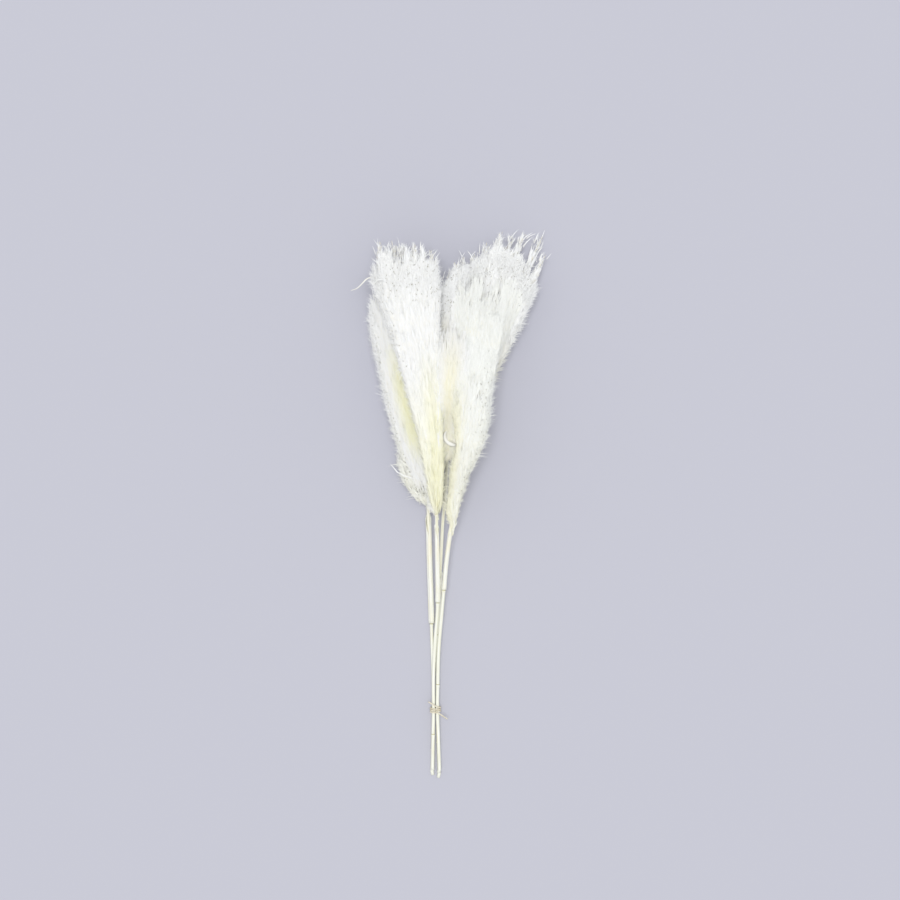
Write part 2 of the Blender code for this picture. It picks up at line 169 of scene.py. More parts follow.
# Kinds of hair. A clump or lock has so many hairs of so many points.
MANTLE = SimpleNamespace(  # fine hairs on the smooth surface over a row of branches
    hairs=4, steps=3, length=(11 * MM, 19 * MM), width=0.42 * MM, root_depth=(0.2 * MM, 1.6 * MM),
    end_height=(-0.4 * MM, 0.5 * MM), sway=0.10, curl=0.02, thickness=0.7 * MM, fan=0.05, gather=0.4,
    turn=0.10,
)
FRINGE = SimpleNamespace(  # short curly ones at its edges and ends
    hairs=3, steps=4, length=(5 * MM, 10 * MM), width=0.40 * MM, root_depth=(0.2 * MM, 1.2 * MM),
    end_height=(0.5 * MM, 4.0 * MM), sway=0.5, curl=0.2, thickness=0.5 * MM, fan=0.15, gather=0.5, turn=0.3,
)
CURL = SimpleNamespace(  # small curls over a plume's frizzy parts
    hairs=2, steps=5, length=(4 * MM, 8 * MM), width=0.44 * MM, root_depth=(0.0 * MM, 0.6 * MM),
    end_height=(0.8 * MM, 2.4 * MM), sway=0.9, curl=0.0, thickness=0.4 * MM, fan=0.15, gather=0.5, turn=0.3,
)
DOWN = SimpleNamespace(  # broad flat locks that fill the plume
    hairs=2, steps=3, length=(13 * MM, 21 * MM), width=1.9 * MM, root_depth=(0.05, 0.55), end_depth=0.76,
    end_scatter=0.08, steepest=0.35, sway=0.10, curl=0.05, thickness=0.8 * MM, fan=0.06, gather=0.0,
    turn=0.12, crowding=0.9, to_tip=-0.3,
)
SILK = SimpleNamespace(  # fine combed hairs over them
    hairs=8, steps=3, length=(8 * MM, 15 * MM), width=0.34 * MM, root_depth=(0.3, 0.85), end_depth=1.0,
    end_scatter=0.09, steepest=0.35, sway=0.18, curl=0.10, thickness=0.65 * MM, fan=0.08, gather=0.5,
    turn=0.18, crowding=0.92, to_tip=0.6,
)
FRIZZ = SimpleNamespace(  # curly strands that stand out at the edges
    hairs=3, steps=5, length=(5 * MM, 9 * MM), width=0.30 * MM, root_depth=(0.6, 1.0), end_depth=1.1,
    end_scatter=0.15, steepest=0.5, sway=0.9, curl=0.4, thickness=0.5 * MM, fan=0.16, gather=0.2,
    turn=0.3, crowding=0.85, to_tip=0.7,
)
WISP = SimpleNamespace(  # thin curved strands past a branch's end
    count=5, hairs=3, steps=5, length=(8 * MM, 15 * MM), width=0.42 * MM, lean=0.22, lift=0.12, sway=0.3,
    aside=2.2 * MM, thickness=0.35 * MM, gather=0.7, turn=0.3, tones=(0.75, 0.97), start=(0.9, 0.99),
)
BRUSH = SimpleNamespace(  # long hairs that draw together to a point
    hairs=24, width=0.4 * MM, thickness=0.35 * MM, past_end=3.0 * MM, tones=(0.8, 0.97),
    out=(0.2 * MM, 1.5 * MM), run=(0.2, 0.5),
)
LOOSE_LOCK = SimpleNamespace(hairs=5, steps=5, width=0.65 * MM, thickness=0.3 * MM, root=0.3, tone=0.93)


# ---------------------------------------------------------------- shapes


def smoothstep(low, high, value):
    t = np.clip((value - low) / (high - low), 0.0, 1.0)
    return t * t * (3 - 2 * t)


def unit(vectors):
    return vectors / np.maximum(np.linalg.norm(vectors, axis=-1, keepdims=True), 1e-12)


def combined(*parts):
    """The sum of vectors, each times its own amount."""
    return sum(vectors * np.asarray(amounts)[..., None] for vectors, amounts in parts)


def read_points(places, marks, points):
    """Points that are given at marks, read at places between them."""
    return np.stack([np.interp(places, marks, points[:, k]) for k in range(3)], axis=-1)


def scatter(spread, *size):
    return rng.normal(scale=spread, size=size)


def round_about(side, up):
    """Directions out of a branch, any way round it."""
    angle = rng.uniform(0, 2 * math.pi, len(side))
    return combined((side, np.cos(angle)), (up, np.sin(angle)))


def through(values, shares):
    """Points on a smooth curve through the values, at shares of its length."""
    values = np.asarray(values, dtype=float)
    place = np.clip(shares, 0, 1) * (len(values) - 1)
    i = np.minimum(place.astype(int), len(values) - 2)
    t = (place - i)[:, None]
    before, after = values[np.maximum(i - 1, 0)], values[np.minimum(i + 2, len(values) - 1)]
    a, b = values[i], values[i + 1]
    bend = 2 * before - 5 * a + 4 * b - after
    return 0.5 * (2 * a + (b - before) * t + bend * t**2 + (3 * a - before - 3 * b + after) * t**3)


def sections(node, count, low=None, high=None):
    """Where planes across Y cut a CAD node: the centres, half the widths and half the heights."""
    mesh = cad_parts[node].data
    points = np.empty(len(mesh.vertices) * 3)
    mesh.vertices.foreach_get("co", points)
    points = points.reshape(-1, 3)
    edges = np.empty(len(mesh.edges) * 2, dtype=np.int32)
    mesh.edges.foreach_get("vertices", edges)
    starts, ends = points[edges[0::2]], points[edges[1::2]]
    margin = 0.2 * MM
    low = points[:, 1].min() + margin if low is None else low
    high = points[:, 1].max() - margin if high is None else high
    centres, halves = [], []
    for y in np.linspace(low, high, count):
        cut = (starts[:, 1] - y) * (ends[:, 1] - y) < 0
        a, b = starts[cut], ends[cut]
        crossing = a + (b - a) * ((y - a[:, 1]) / (b[:, 1] - a[:, 1]))[:, None]
        least, most = crossing.min(axis=0), crossing.max(axis=0)
        centres.append((least + most) / 2)
        halves.append((most - least) / 2)
    halves = np.array(halves)
    return np.array(centres), halves[:, 0], halves[:, 2]


class Path:
    """A centre line with its half-widths and half-heights, read at any share of its length."""

    def __init__(self, centres, widths, heights):
        self.centres, self.widths, self.heights = centres, widths, heights
        self.shares = np.linspace(0, 1, len(centres))
        self.length = float(np.linalg.norm(np.diff(centres, axis=0), axis=1).sum())
        self.tangents = unit(np.gradient(centres, axis=0))

    def at(self, share):
        """The centres there, the directions along, aside and up, and the half-widths and half-heights."""
        along = unit(read_points(share, self.shares, self.tangents))
        side = unit(np.cross(along, UP))
        width, height = (np.interp(share, self.shares, values) for values in (self.widths, self.heights))
        centre = read_points(share, self.shares, self.centres)
        return centre, along, side, np.cross(side, along), width, height

    def trimmed(self, low, high):
        """Its part between two places along Y, given in mm."""
        share = np.interp(np.linspace(low, high, TRIMMED_SAMPLES) * MM, self.centres[:, 1], self.shares)
        centres, _, _, _, widths, heights = self.at(share)
        return Path(centres, widths, heights)

    def raised(self, heights):
        """The same path with its middle line at other heights."""
        centres = self.centres.copy()
        centres[:, 2] = heights
        return Path(centres, self.widths, self.heights)

    def shifted(self, aside, up):
        """The same path moved sideways and up."""
        return Path(self.centres + np.array([aside, 0, up]), self.widths, self.heights)


def joined(first, second):
    """The path of two runs, each with its centres, half-widths and half-heights."""
    return Path(*(np.concatenate(parts) for parts in zip(first, second)))


class Form:
    """Collects points, faces, their UVs and material slots, and makes one mesh object of them."""

    def __init__(self):
        self.points, self.uvs, self.corners, self.sizes, self.slots = [], [], [], [], []
        self.count = 0

    def add(self, points, *groups, slot=0):
        """A group is an array of equal-sized faces between the points, and a UV for each of their corners."""
        self.points.append(np.reshape(points, (-1, 3)))
        for faces, uvs in groups:
            faces = np.asarray(faces)
            self.corners.append((faces + self.count).ravel())
            self.sizes.append(np.full(len(faces), faces.shape[1]))
            self.slots.append(np.full(len(faces), slot))
            self.uvs.append(np.reshape(uvs, (-1, 2)))
        self.count += len(self.points[-1])

    def make(self, name, materials):
        points = np.concatenate(self.points)
        corners = np.concatenate(self.corners).astype(np.int32)
        sizes = np.concatenate(self.sizes).astype(np.int32)
        starts = np.concatenate(([0], np.cumsum(sizes)[:-1])).astype(np.int32)
        mesh = bpy.data.meshes.new(name)
        mesh.vertices.add(len(points))
        mesh.vertices.foreach_set("co", points.astype(np.float32).ravel())
        mesh.loops.add(len(corners))
        mesh.loops.foreach_set("vertex_index", corners)
        mesh.polygons.add(len(sizes))
        mesh.polygons.foreach_set("loop_start", starts)
        mesh.polygons.foreach_set("material_index", np.concatenate(self.slots).astype(np.int32))
        mesh.update(calc_edges=True)
        mesh.validate()
        layer = mesh.uv_layers.new(name=UV_LAYER)
        layer.data.foreach_set("uv", np.concatenate(self.uvs).astype(np.float32).ravel())
        mesh.polygons.foreach_set("use_smooth", np.ones(len(sizes), dtype=bool))
        for material in materials:
            mesh.materials.append(material)
        obj = bpy.data.objects.new(name, mesh)
        bpy.context.scene.collection.objects.link(obj)
        return obj


def squares(rows, columns):
    """The corners of the faces between rows and columns of points: their rows, and their columns."""
    row, column = np.meshgrid(np.arange(rows - 1), np.arange(columns - 1), indexing="ij")
    corners = np.array([(0, 0), (0, 1), (1, 1), (1, 0)])
    return row.reshape(-1, 1) + corners[:, 0], column.reshape(-1, 1) + corners[:, 1]


def sides_along(points):
    """The directions to a line's side and over it, which turn along it no more than they must."""
    along = unit(np.gradient(points, axis=0))
    side = np.empty_like(points)
    reference = UP if abs(along[0, 2]) < 0.9 else np.array([1.0, 0.0, 0.0])
    side[0] = unit(np.cross(along[0], reference))
    for i in range(1, len(points)):
        side[i] = unit(side[i - 1] - along[i] * np.dot(side[i - 1], along[i]))
    return side, np.cross(side, along)


def add_tube(form, points, radii, sides, slot=0, u_range=(0, 1), flat=1.0):
    """A closed round tube along points. flat is its height as a share of its width."""
    points = np.asarray(points, dtype=float)
    count = len(points)
    side, up = (directions[:, None] for directions in sides_along(points))
    angles = np.linspace(0, 2 * math.pi, sides, endpoint=False)[None]
    rings = combined((side, np.cos(angles)), (up, flat * np.sin(angles)))
    rings = points[:, None] + radii[:, None, None] * rings
    low, high = u_range
    ring, step = squares(count, sides + 1)
    uvs = np.stack((low + (high - low) * step / sides, ring / (count - 1)), axis=-1)
    caps, cap_uvs = [], []
    for end in (0, 1):
        first = end * (count - 1) * sides
        for j in range(sides):
            pair = (first + j, first + (j + 1) % sides)
            caps.append((*(pair if end else pair[::-1]), count * sides + end))
            cap_uvs.append(((low, end), (high, end), ((low + high) / 2, end)))
    every = np.concatenate((rings.reshape(-1, 3), points[[0, -1]]))
    form.add(every, (ring * sides + step % sides, uvs), (caps, cap_uvs), slot=slot)


# ---------------------------------------------------------------- fluff


class Envelope:
    """A plume's outline at any place along Y, and its hairs' tone: 0 is warm and deep, with painted shade,
    and 1 is white.
    """

    def __init__(self, paths, tone_and_shade):
        self.tone_and_shade = tone_and_shade
        self.low = min(path.centres[0, 1] for path in paths)
        self.high = max(path.centres[-1, 1] for path in paths)
        self.ys = np.linspace(self.low, self.high, ENVELOPE_SAMPLES)
        edges = np.full((4, len(self.ys)), np.nan)
        for path in paths:
            x, y, z = path.centres.T
            outer = (x - path.widths, x + path.widths, z - path.heights, z + path.heights)
            for k, values in enumerate(outer):
                read = np.interp(self.ys, y, values, left=np.nan, right=np.nan)
                edges[k] = (np.fmin, np.fmax)[k % 2](edges[k], read)
        blur = np.ones(ENVELOPE_BLUR) / ENVELOPE_BLUR
        edges = np.pad(edges, ((0, 0), (ENVELOPE_BLUR // 2, ENVELOPE_BLUR // 2)), mode="edge")
        self.edges = [np.convolve(edge, blur, "valid") for edge in edges]

    def outline(self, ys):
        """Its left, right, bottom and top."""
        return [np.interp(ys, self.ys, edge) for edge in self.edges]

    def place(self, points):
        """Across and up from the plume's middle line, where 1 is its outline and a margin."""
        left, right, bottom, top = self.outline(points[:, 1])
        across = (points[:, 0] - (left + right) / 2) / ((right - left) / 2 + ENVELOPE_MARGINS[0])
        up = (points[:, 2] - (bottom + top) / 2) / ((top - bottom) / 2 + ENVELOPE_MARGINS[1])
        return across, up

    def buried(self, points):
        """How far inside the plume points are: 1 near its middle line, and 0 from about its outline on."""
        return 1 - smoothstep(0.45, 0.95, np.hypot(*self.place(points)))

    def press(self, lines):
        """Brings hairs that stand up over the plume's top, or hang below it, nearer to it."""
        _, _, bottom, top = self.outline(lines[..., 1])
        heights = lines[..., 2]
        inside = np.clip(heights, bottom, top + LOOSE_TOP)
        lines[..., 2] = inside + PRESSING * (heights - inside)

    def tone(self, points):
        """Whiter towards the plume's end and outside; painted shade makes it darker inside and warmer on its
        side in the bundle's heart.
        """
        share = np.clip((points[:, 1] - self.low) / (self.high - self.low), 0, 1)
        across, _ = self.place(points)
        foot, whitens, side, start, shares, amount = self.tone_and_shade
        whiteness = foot + (1 - foot) * smoothstep(*whitens, share)
        # painted shade: warmer and darker where the plumes meet, and darker deep inside the plume
        heart = smoothstep(start, start + HEART_SHADE_EDGE, side * across)
        heart *= smoothstep(*shares[:2], share) * (1 - smoothstep(*shares[2:], share))
        return whiteness - amount * heart - INSIDE_SHADE * self.buried(points) * (1 - 0.6 * share)


def foot_taper(share):
    """How far the fluff is out at a branch's foot, where it starts."""
    return smoothstep(-0.12, 0.06, share)


def row_reach(paths, index, number):
    """How far a strand's fluff spreads to its left and right: past the middle of the gap where it has a
    neighbour in its row, and elsewhere about as far as its CAD solid."""
    path = paths[index]
    y = path.centres[:, 1]
    reach = []
    for step, side in ((-1, LEFT_SIDE), (1, RIGHT_SIDE)):
        if 0 <= index + step < len(paths):
            other = paths[index + step]
            gap = np.abs(np.interp(y, other.centres[:, 1], other.centres[:, 0]) - path.centres[:, 0])
            reach.append(np.clip(gap * GAP_FILL, path.widths * INNER_SHARE, WIDEST_FLUFF))
        else:
            shares, extra = zip(*side[number])
            reach.append(path.widths * OUTER_SHARE + np.interp(path.shares, shares, extra) * MM)
    return reach


class Sheet:
    """A smooth surface over strands that lie side by side. A place on it is counted in strands from the
    leftmost, and beyond the outer ones it bends down to its edges, their reach to the left and right."""

    def __init__(self, strands, edges=None):
        self.strands, self.last = strands, len(strands) - 1
        self.edges = edges or (strands[0].widths, strands[-1].widths)

    def blend(self, place, values):
        """What each strand's values are between the strands."""
        across = np.clip(place, 0, self.last)
        first = np.minimum(across.astype(int), self.last - 1)
        values = np.stack(values)
        mix = (across - first).reshape(-1, *[1] * (values.ndim - 2))
        pick = np.arange(len(place))
        return values[first, pick] * (1 - mix) + values[first + 1, pick] * mix

    def at(self, place, share, crown=1):
        """Places on its upper side, on its under side where crown is -1 or between them where it is 0, and
        the directions there along the hairs, out of it and across."""
        every = zip(*(strand.at(share) for strand in self.strands))
        centre, along, side, up, _, height = (self.blend(place, values) for values in every)
        along = unit(along)
        taper = foot_taper(share)
        height = np.maximum(height, LEAST_FLUFF) * taper
        turn = (place - np.clip(place, 0, self.last)) * EDGE_TURN
        outer = (self.strands[0], self.strands[-1])
        left, right = (np.interp(share, strand.shares, edge) for strand, edge in zip(outer, self.edges))
        reach = np.maximum(np.where(turn < 0, left, right), 0.5 * MM) * taper
        normal = unit(combined((side, np.sin(turn) / reach), (up, crown * np.cos(turn) / height)))
        surface = combined((centre, 1), (side, np.sin(turn) * reach), (up, crown * np.cos(turn) * height))
        return surface, along, normal, unit(np.cross(along, normal))

    def ragged_end(self, ends, depth=TUFT_DEPTH):
        """Where hairs end along it, read at any place across: uneven, in tufts."""
        knots = np.linspace(-1, self.last + 1, TUFTS_A_BRANCH * (self.last + 2) + 1)
        tops = np.interp(knots, np.linspace(0, self.last, len(ends)), ends)
        tops = tops - depth * rng.uniform(0, 1, len(knots)) ** 1.5
        return lambda place: np.interp(place, knots, tops)

    def spots(self, end, beyond, run, count, crowding=1):
        """Random places across it, up to so far beyond its outer strands, and shares of its length, over a
        run of the way to its end and crowding towards there."""
        place = rng.uniform(-beyond, self.last + beyond, count)
        return place, end(place) * rng.uniform(*run, count) ** crowding


def row_sheet(strands, number):
    """The surface over a row's strands, as wide as their fluff."""
    left, _ = row_reach(strands, 0, number)
    _, right = row_reach(strands, len(strands) - 1, number)
    return Sheet(strands, (left, right))


def clear_of(lines, points):
    """Which hairs don't pass over a thin thing, given by points along it."""
    marks = np.linspace(0, lines.shape[1] - 1.001, 9)
    first, mix = marks.astype(int), (marks % 1)[None, :, None]
    middle, reach = points.mean(axis=0), np.ptp(points, axis=0).max() + 20 * MM
    near = np.flatnonzero(np.abs(lines[:, 0] - middle).max(axis=1) < reach)
    places = lines[near][:, first] * (1 - mix) + lines[near][:, first + 1] * mix
    gaps = np.hypot(*(places[:, :, None, k] - points[None, None, :, k] for k in (0, 1)))
    over = (gaps < LEAF_CLEARING) & (places[:, :, None, 2] > points[None, None, :, 2] - 1 * MM)
    kept = np.ones(len(lines), dtype=bool)
    kept[near] = ~over.any(axis=(1, 2))
    return kept


class Coat:
    """The hairs of a strand: the form they go into, the plume's envelope and their band of the texture."""

    def __init__(self, form, plume, band):
        self.form, self.plume, self.band = form, plume, band

    def add_hairs(self, lines, facing, widths, tone, root=BAND_START):
        """Hairs as flat tapering ribbons along lines, each from its root to its tip. facing is where their
        flat side looks, and root is where they start in their band of the texture."""
        kept = clear_of(lines, CURLED_LEAF[:SHOWING_LEAF_POINTS])
        lines, facing, widths, tone = (values[kept] for values in (lines, facing, widths, tone))
        count, steps = lines.shape[:2]
        lines[:, :, 2] = np.maximum(lines[:, :, 2], FLOOR_CLEARANCE)
        across = unit(np.cross(np.diff(lines, axis=1), facing[:, None]))
        half = across * (widths[:, None, None] * 0.5) * np.array(RIBBON_PROFILES[steps - 1])[:, None]
        body = lines[:, :-1]
        edges = np.stack((body - half, body + half), axis=2).reshape(count, -1, 3)
        points = np.concatenate((edges, lines[:, -1:]), axis=1)
        points[:, :, 2] = np.maximum(points[:, :, 2], FLOOR_CLEARANCE)
        low, high = self.band
        along = low + (high - low) * np.linspace(root, BAND_END, steps)
        u = np.append(np.repeat(along[:-1], 2), along[-1])
        both_sides = np.append(np.tile((-UV_HALF_WIDTH, UV_HALF_WIDTH), steps - 1), 0)
        v = np.clip(tone, LEAST_TONE, MOST_TONE)[:, None] + both_sides
        uv = np.stack(np.broadcast_arrays(u, v), axis=-1)
        corners = [[2 * k, 2 * k + 1, 2 * k + 3, 2 * k + 2] for k in range(steps - 2)]
        corners.append([2 * steps - 4, 2 * steps - 3, 2 * steps - 2])
        first = np.arange(count)[:, None] * points.shape[1]
        self.form.add(points, *((first + np.array(face), uv[:, face]) for face in corners))


def bent(steps, starts, directions, sizes, bends, offsets, gather):
    """Hairs of so many points. Each bend, a direction and an amount, takes them further aside towards their
    tips. The offsets spread them at their roots, and gather is how far they draw together again."""
    shares = np.linspace(0, 1, steps)
    lines = starts[:, None] + directions[:, None] * (sizes[:, None] * shares)[:, :, None]
    bow = (sizes[:, None] * shares**2)[:, :, None]
    for toward, amount in bends:
        lines += toward[:, None] * amount[:, None, None] * bow
    return lines + offsets[:, None] * (1 - gather * shares)[None, :, None]


def add_locks(coat, path, reach, narrow, kind, count):
    """Locks of silky hair round a branch. Each lock's hairs share one curve and draw together at its tip, and
    they lie close along the branch, so that the plume looks combed. A buried lock is often left out."""
    tries = 3 * count
    share = (narrow[1] + (1 - narrow[1]) * kind.to_tip) * rng.uniform(0, 1, tries) ** kind.crowding
    centre, along, side, up, _, height = path.at(share)
    angle = rng.uniform(0, 2 * math.pi, tries)
    taper = foot_taper(share) * (1 - (1 - narrow[2]) * smoothstep(*narrow[:2], share))
    left, right = (np.interp(share, path.shares, one) for one in reach)
    width = np.where(np.cos(angle) > 0, right, left) * taper
    height = np.maximum(height, LEAST_FLUFF) * taper
    aside, above = np.cos(angle) * width, np.sin(angle) * height
    depth = np.sqrt(rng.uniform(*kind.root_depth, tries))
    roots = combined((centre, 1), (side, aside * depth), (up, above * depth))
    facing = unit(combined((side, np.cos(angle) / width), (up, np.sin(angle) / height)))
    outward = unit(combined((side, aside), (up, above)))
    length = rng.uniform(*kind.length, tries) * (0.5 + 0.5 * taper)
    room = (kind.end_depth + scatter(kind.end_scatter, tries) - depth) * np.hypot(aside, above)
    lift = np.clip(room / length, -0.1, kind.steepest)
    direction = unit(combined((along, np.sqrt(1 - lift**2)), (outward, lift)))
    across = unit(np.cross(direction, facing))
    buried = coat.plume.buried(roots + direction * length[:, None])
    chosen = np.flatnonzero(rng.uniform(size=tries) > HEART_THINNING * buried)[:count]
    sway = scatter(kind.sway, len(chosen))
    curl = scatter(kind.curl, len(chosen)) - 0.5 * lift[chosen]

    hair = np.repeat(np.arange(len(chosen)), kind.hairs)
    lock, total = chosen[hair], len(hair)
    size = length[lock] * rng.uniform(*LOCK_SPREAD, total)
    fanned = direction[lock] + scatter(kind.fan, total, 3)
    offset = scatter(kind.thickness, total, 3) * taper[lock][:, None]
    bends = (across[lock], sway[hair]), (outward[lock], curl[hair])
    lines = bent(kind.steps, roots[lock], fanned, size, bends, offset, kind.gather)
    turned = unit(facing[lock] + scatter(kind.turn, total, 3))
    coat.plume.press(lines)
    tone = coat.plume.tone(lines[:, -1]) + scatter(LOCK_TINT, len(chosen))[hair]
    coat.add_hairs(lines, turned, kind.width * rng.uniform(*WIDTH_SPREAD, total), tone)


def add_clumps(coat, kind, surface, along, normal, over, tone=None):
    """Small clumps of fine hairs that rise out of a surface, lean along it and bend sideways. Their tone is
    the plume's where none is given, and then they also keep to its height."""
    clumps = len(surface)
    sway, curl = scatter(kind.sway, clumps), scatter(kind.curl, clumps)
    length = rng.uniform(*kind.length, clumps)
    tint = scatter(CLUMP_TINT, clumps)
    hair = np.repeat(np.arange(clumps), kind.hairs)
    total = len(hair)
    size = length[hair] * rng.uniform(*CLUMP_SPREAD, total)
    depth = rng.uniform(*kind.root_depth, total)
    rise = (depth + rng.uniform(*kind.end_height, total)) / size
    onward, out, aside = along[hair], normal[hair], over[hair]
    direction = unit(combined((onward, 1), (out, rise), (aside, scatter(kind.fan, total))))
    offset = aside * scatter(kind.thickness, total)[:, None]
    back = rng.uniform(-3, 3, total) * MM - 0.5 * size
    start = combined((surface[hair], 1), (out, -depth), (onward, back))
    bends = (aside, sway[hair]), (out, curl[hair])
    lines = bent(kind.steps, start, direction, size, bends, offset, kind.gather)
    # On a plume's flank they turn their flat side up.
    facing = unit(normal + smoothstep(-0.4, 0.2, normal[:, 2:]) * UP)[hair]
    turned = unit(facing + scatter(kind.turn, total, 3))
    if tone is None:
        coat.plume.press(lines)
    tone = coat.plume.tone(lines[:, -1]) if tone is None else tone[hair]
    coat.add_hairs(lines, turned, kind.width * rng.uniform(*WIDTH_SPREAD, total), tone + tint[hair])


def add_mantle(coat, sheet, clumps, ends, parting, crown=1):
    """The fine hairs on a row's surface, or under it where crown is -1. They end at shares of the branches'
    length, from the leftmost branch to the rightmost, and part into streaks towards there."""
    place, share = sheet.spots(sheet.ragged_end(ends), 1, (0, 1), clumps, MANTLE_CROWDING)
    from_parting = 0.5 - np.abs(place * PARTINGS_A_BRANCH % 1 - 0.5)
    kept = from_parting >= parting * smoothstep(*PARTING_RUN, share)
    add_clumps(coat, MANTLE, *sheet.at(place[kept], share[kept], crown))


def add_fringe(coat, sheet, at_edges, at_end, ends):
    """Short curly hairs that stand out at a row's left and right edges and at its end."""
    end = sheet.ragged_end(ends)
    beyond = rng.uniform(*FRINGE_BEYOND, at_edges)
    place = np.where(rng.uniform(size=at_edges) < 0.5, -beyond, sheet.last + beyond)
    share = end(place) * rng.uniform(0.02, 1, at_edges) ** 0.8
    surface, along, normal, over = sheet.at(place, share)
    leaning = unit(along + normal * rng.uniform(*FRINGE_LEAN, at_edges)[:, None])
    add_clumps(coat, FRINGE, surface, leaning, normal, over)
    add_clumps(coat, FRINGE, *sheet.at(*sheet.spots(end, 0.8, END_RUN, at_end)))


def add_curls(coat, core, sheet, patches, ends):
    """Short curls that lie every way over parts of a row's surface, with small husks between them, dark as
    painted shade for the shadowed gaps between the curls. Each patch has its ranges across the row and along
    it, and a count."""
    places = np.linspace(-1, sheet.last + 1, len(ends))
    for across, along_row, count in patches:
        place, share = rng.uniform(*across, count), rng.uniform(*along_row, count)
        surface, along, normal, over = sheet.at(place, share * np.interp(place, places, ends))
        turn = scatter(CURL_TURN, count)
        leaning = combined((along, np.cos(turn)), (over, np.sin(turn)))
        add_clumps(coat, CURL, surface, leaning, normal, unit(np.cross(leaning, normal)))
        husks = slice(count // CURLS_TO_HUSK)
        lean = unit(along + HUSK_TURN * over * scatter(1, count)[:, None])[husks]
        out = normal[husks]
        length = rng.uniform(*SHADE_SPECK_HUSK_LENGTH, len(out))
        foot = surface[husks] + out * 0.9 * MM
        add_spindles(core, foot, lean, out, length, SHADE_SPECK_HUSK_RADIUS, SHADE_SPECK_HUSK_SLOT)


def add_side(coat, strands, reaches, sign, end_share):
    """The fine hairs that close a plume's left or right side, over its rows' outermost branches."""
    sheet = Sheet(strands)
    end = sheet.ragged_end((end_share, end_share))
    place, share = sheet.spots(end, 0, (0, 1), SIDE_CLUMPS, SIDE_CROWDING)
    centre, along, _, _ = sheet.at(place, share, crown=0)
    side = unit(np.cross(along, UP)) * sign
    out = [np.interp(share, strand.shares, reach) for strand, reach in zip(strands, reaches)]
    surface = centre + side * (sheet.blend(place, out) * foot_taper(share))[:, None]
    normal = unit(side + UP * (place - sheet.last / 2)[:, None] * SIDE_BULGE)
    over = unit(np.cross(along, normal))
    add_clumps(coat, MANTLE, surface, along, normal, over)
    leaning = unit(along + normal * SIDE_LEAN)
    few = SIDE_CLUMPS // FRINGE_EVERY
    add_clumps(coat, FRINGE, *(values[:few] for values in (surface, leaning, normal, over)))


def add_lock(coat, route):
    """A loose curved lock of a few hairs through points given in mm."""
    kind = LOOSE_LOCK
    line = through(np.asarray(route) * MM, np.linspace(0, 1, kind.steps))
    loose = scatter(kind.thickness, kind.hairs, 1, 3) * np.linspace(1, 0.3, kind.steps)[None, :, None]
    facing = np.tile(UP, (kind.hairs, 1))
    widths, tone = (np.full(kind.hairs, value) for value in (kind.width, kind.tone))
    coat.add_hairs(line[None] + loose, facing, widths, tone, kind.root)


def add_wisps(coat, path):
    """Thin curved strands that draw out past a branch's end."""
    kind = WISP
    centre, along, side, up, _, _ = path.at(rng.uniform(*kind.start, kind.count))
    hair = np.repeat(np.arange(kind.count), kind.hairs)
    total = len(hair)
    lean = scatter(kind.lean, kind.count)
    direction = unit(combined((along, 1), (side, lean), (up, scatter(kind.lift, kind.count))))
    start = centre + side * scatter(kind.aside, kind.count)[:, None]
    length = rng.uniform(*kind.length, kind.count)
    bends = [(side[hair], scatter(kind.sway, kind.count)[hair])]
    size = length[hair] * rng.uniform(*WISP_SPREAD, total)
    loose = scatter(kind.thickness, total, 3)
    lines = bent(kind.steps, start[hair], direction[hair], size, bends, loose, kind.gather)
    tone = rng.uniform(*kind.tones, kind.count)[hair]
    facing = unit(up[hair] + scatter(kind.turn, total, 3))
    coat.add_hairs(lines, facing, kind.width * rng.uniform(*FINE_WIDTH_SPREAD, total), tone)


def add_brush(coat, path, point, start, count):
    """Long hairs along a branch from a share of its length, which draw together to a point near its end."""
    (onward,) = path.at(np.ones(1))[1]
    past = point - path.centres[-1]
    reach = np.dot(past, onward) / path.length
    share = start + (1 + reach - start) * rng.uniform(0.0, 0.75, count)
    centre, _, side, up, _, _ = path.at(share)
    nearness = ((share - start) / (1 + reach - start))[:, None]
    line = centre + (past - onward * reach * path.length) * nearness
    out = round_about(side, up)
    roots = line + out * rng.uniform(*BRUSH.out, count)[:, None] * (1 - 0.6 * nearness)
    goal = np.minimum(nearness + rng.uniform(*BRUSH.run, (count, 1)), 1.0)
    tips = line + (point - line) * (goal - nearness) / np.maximum(1 - nearness, 1e-6)
    tips += scatter(BRUSH.thickness, count, 3) * (1.6 - goal)
    middle = (roots + tips) / 2 + out * (scatter(BRUSH.thickness, count) / 2)[:, None]
    tone = rng.uniform(*BRUSH.tones, count)
    lines = np.stack((roots, middle, tips), axis=1)
    coat.add_hairs(lines, out, BRUSH.width * rng.uniform(*FINE_WIDTH_SPREAD, count), tone)


def add_tips(coat, path, start):
    """Brushes of long hairs that draw out to fine points at a branch's end, and shorter ones beside it."""
    end = path.centres[-1]
    _, (onward,), (across,), (over,), _, _ = path.at(np.ones(1))
    brushes = [(end + onward * BRUSH.past_end, start, BRUSH.hairs)]
    for _ in range(SIDE_TIPS):
        back = rng.uniform(0, 10) * MM
        beside = across * rng.uniform(-1, 1) * 6 * MM + over * scatter(2 * MM)
        begin = max(1 - (back + rng.uniform(14, 22) * MM) / path.length, 0.5)
        brushes.append((end - onward * back + beside, begin, BRUSH.hairs // 2))
    for point, begin, count in brushes:
        add_brush(coat, path, point, begin, count)


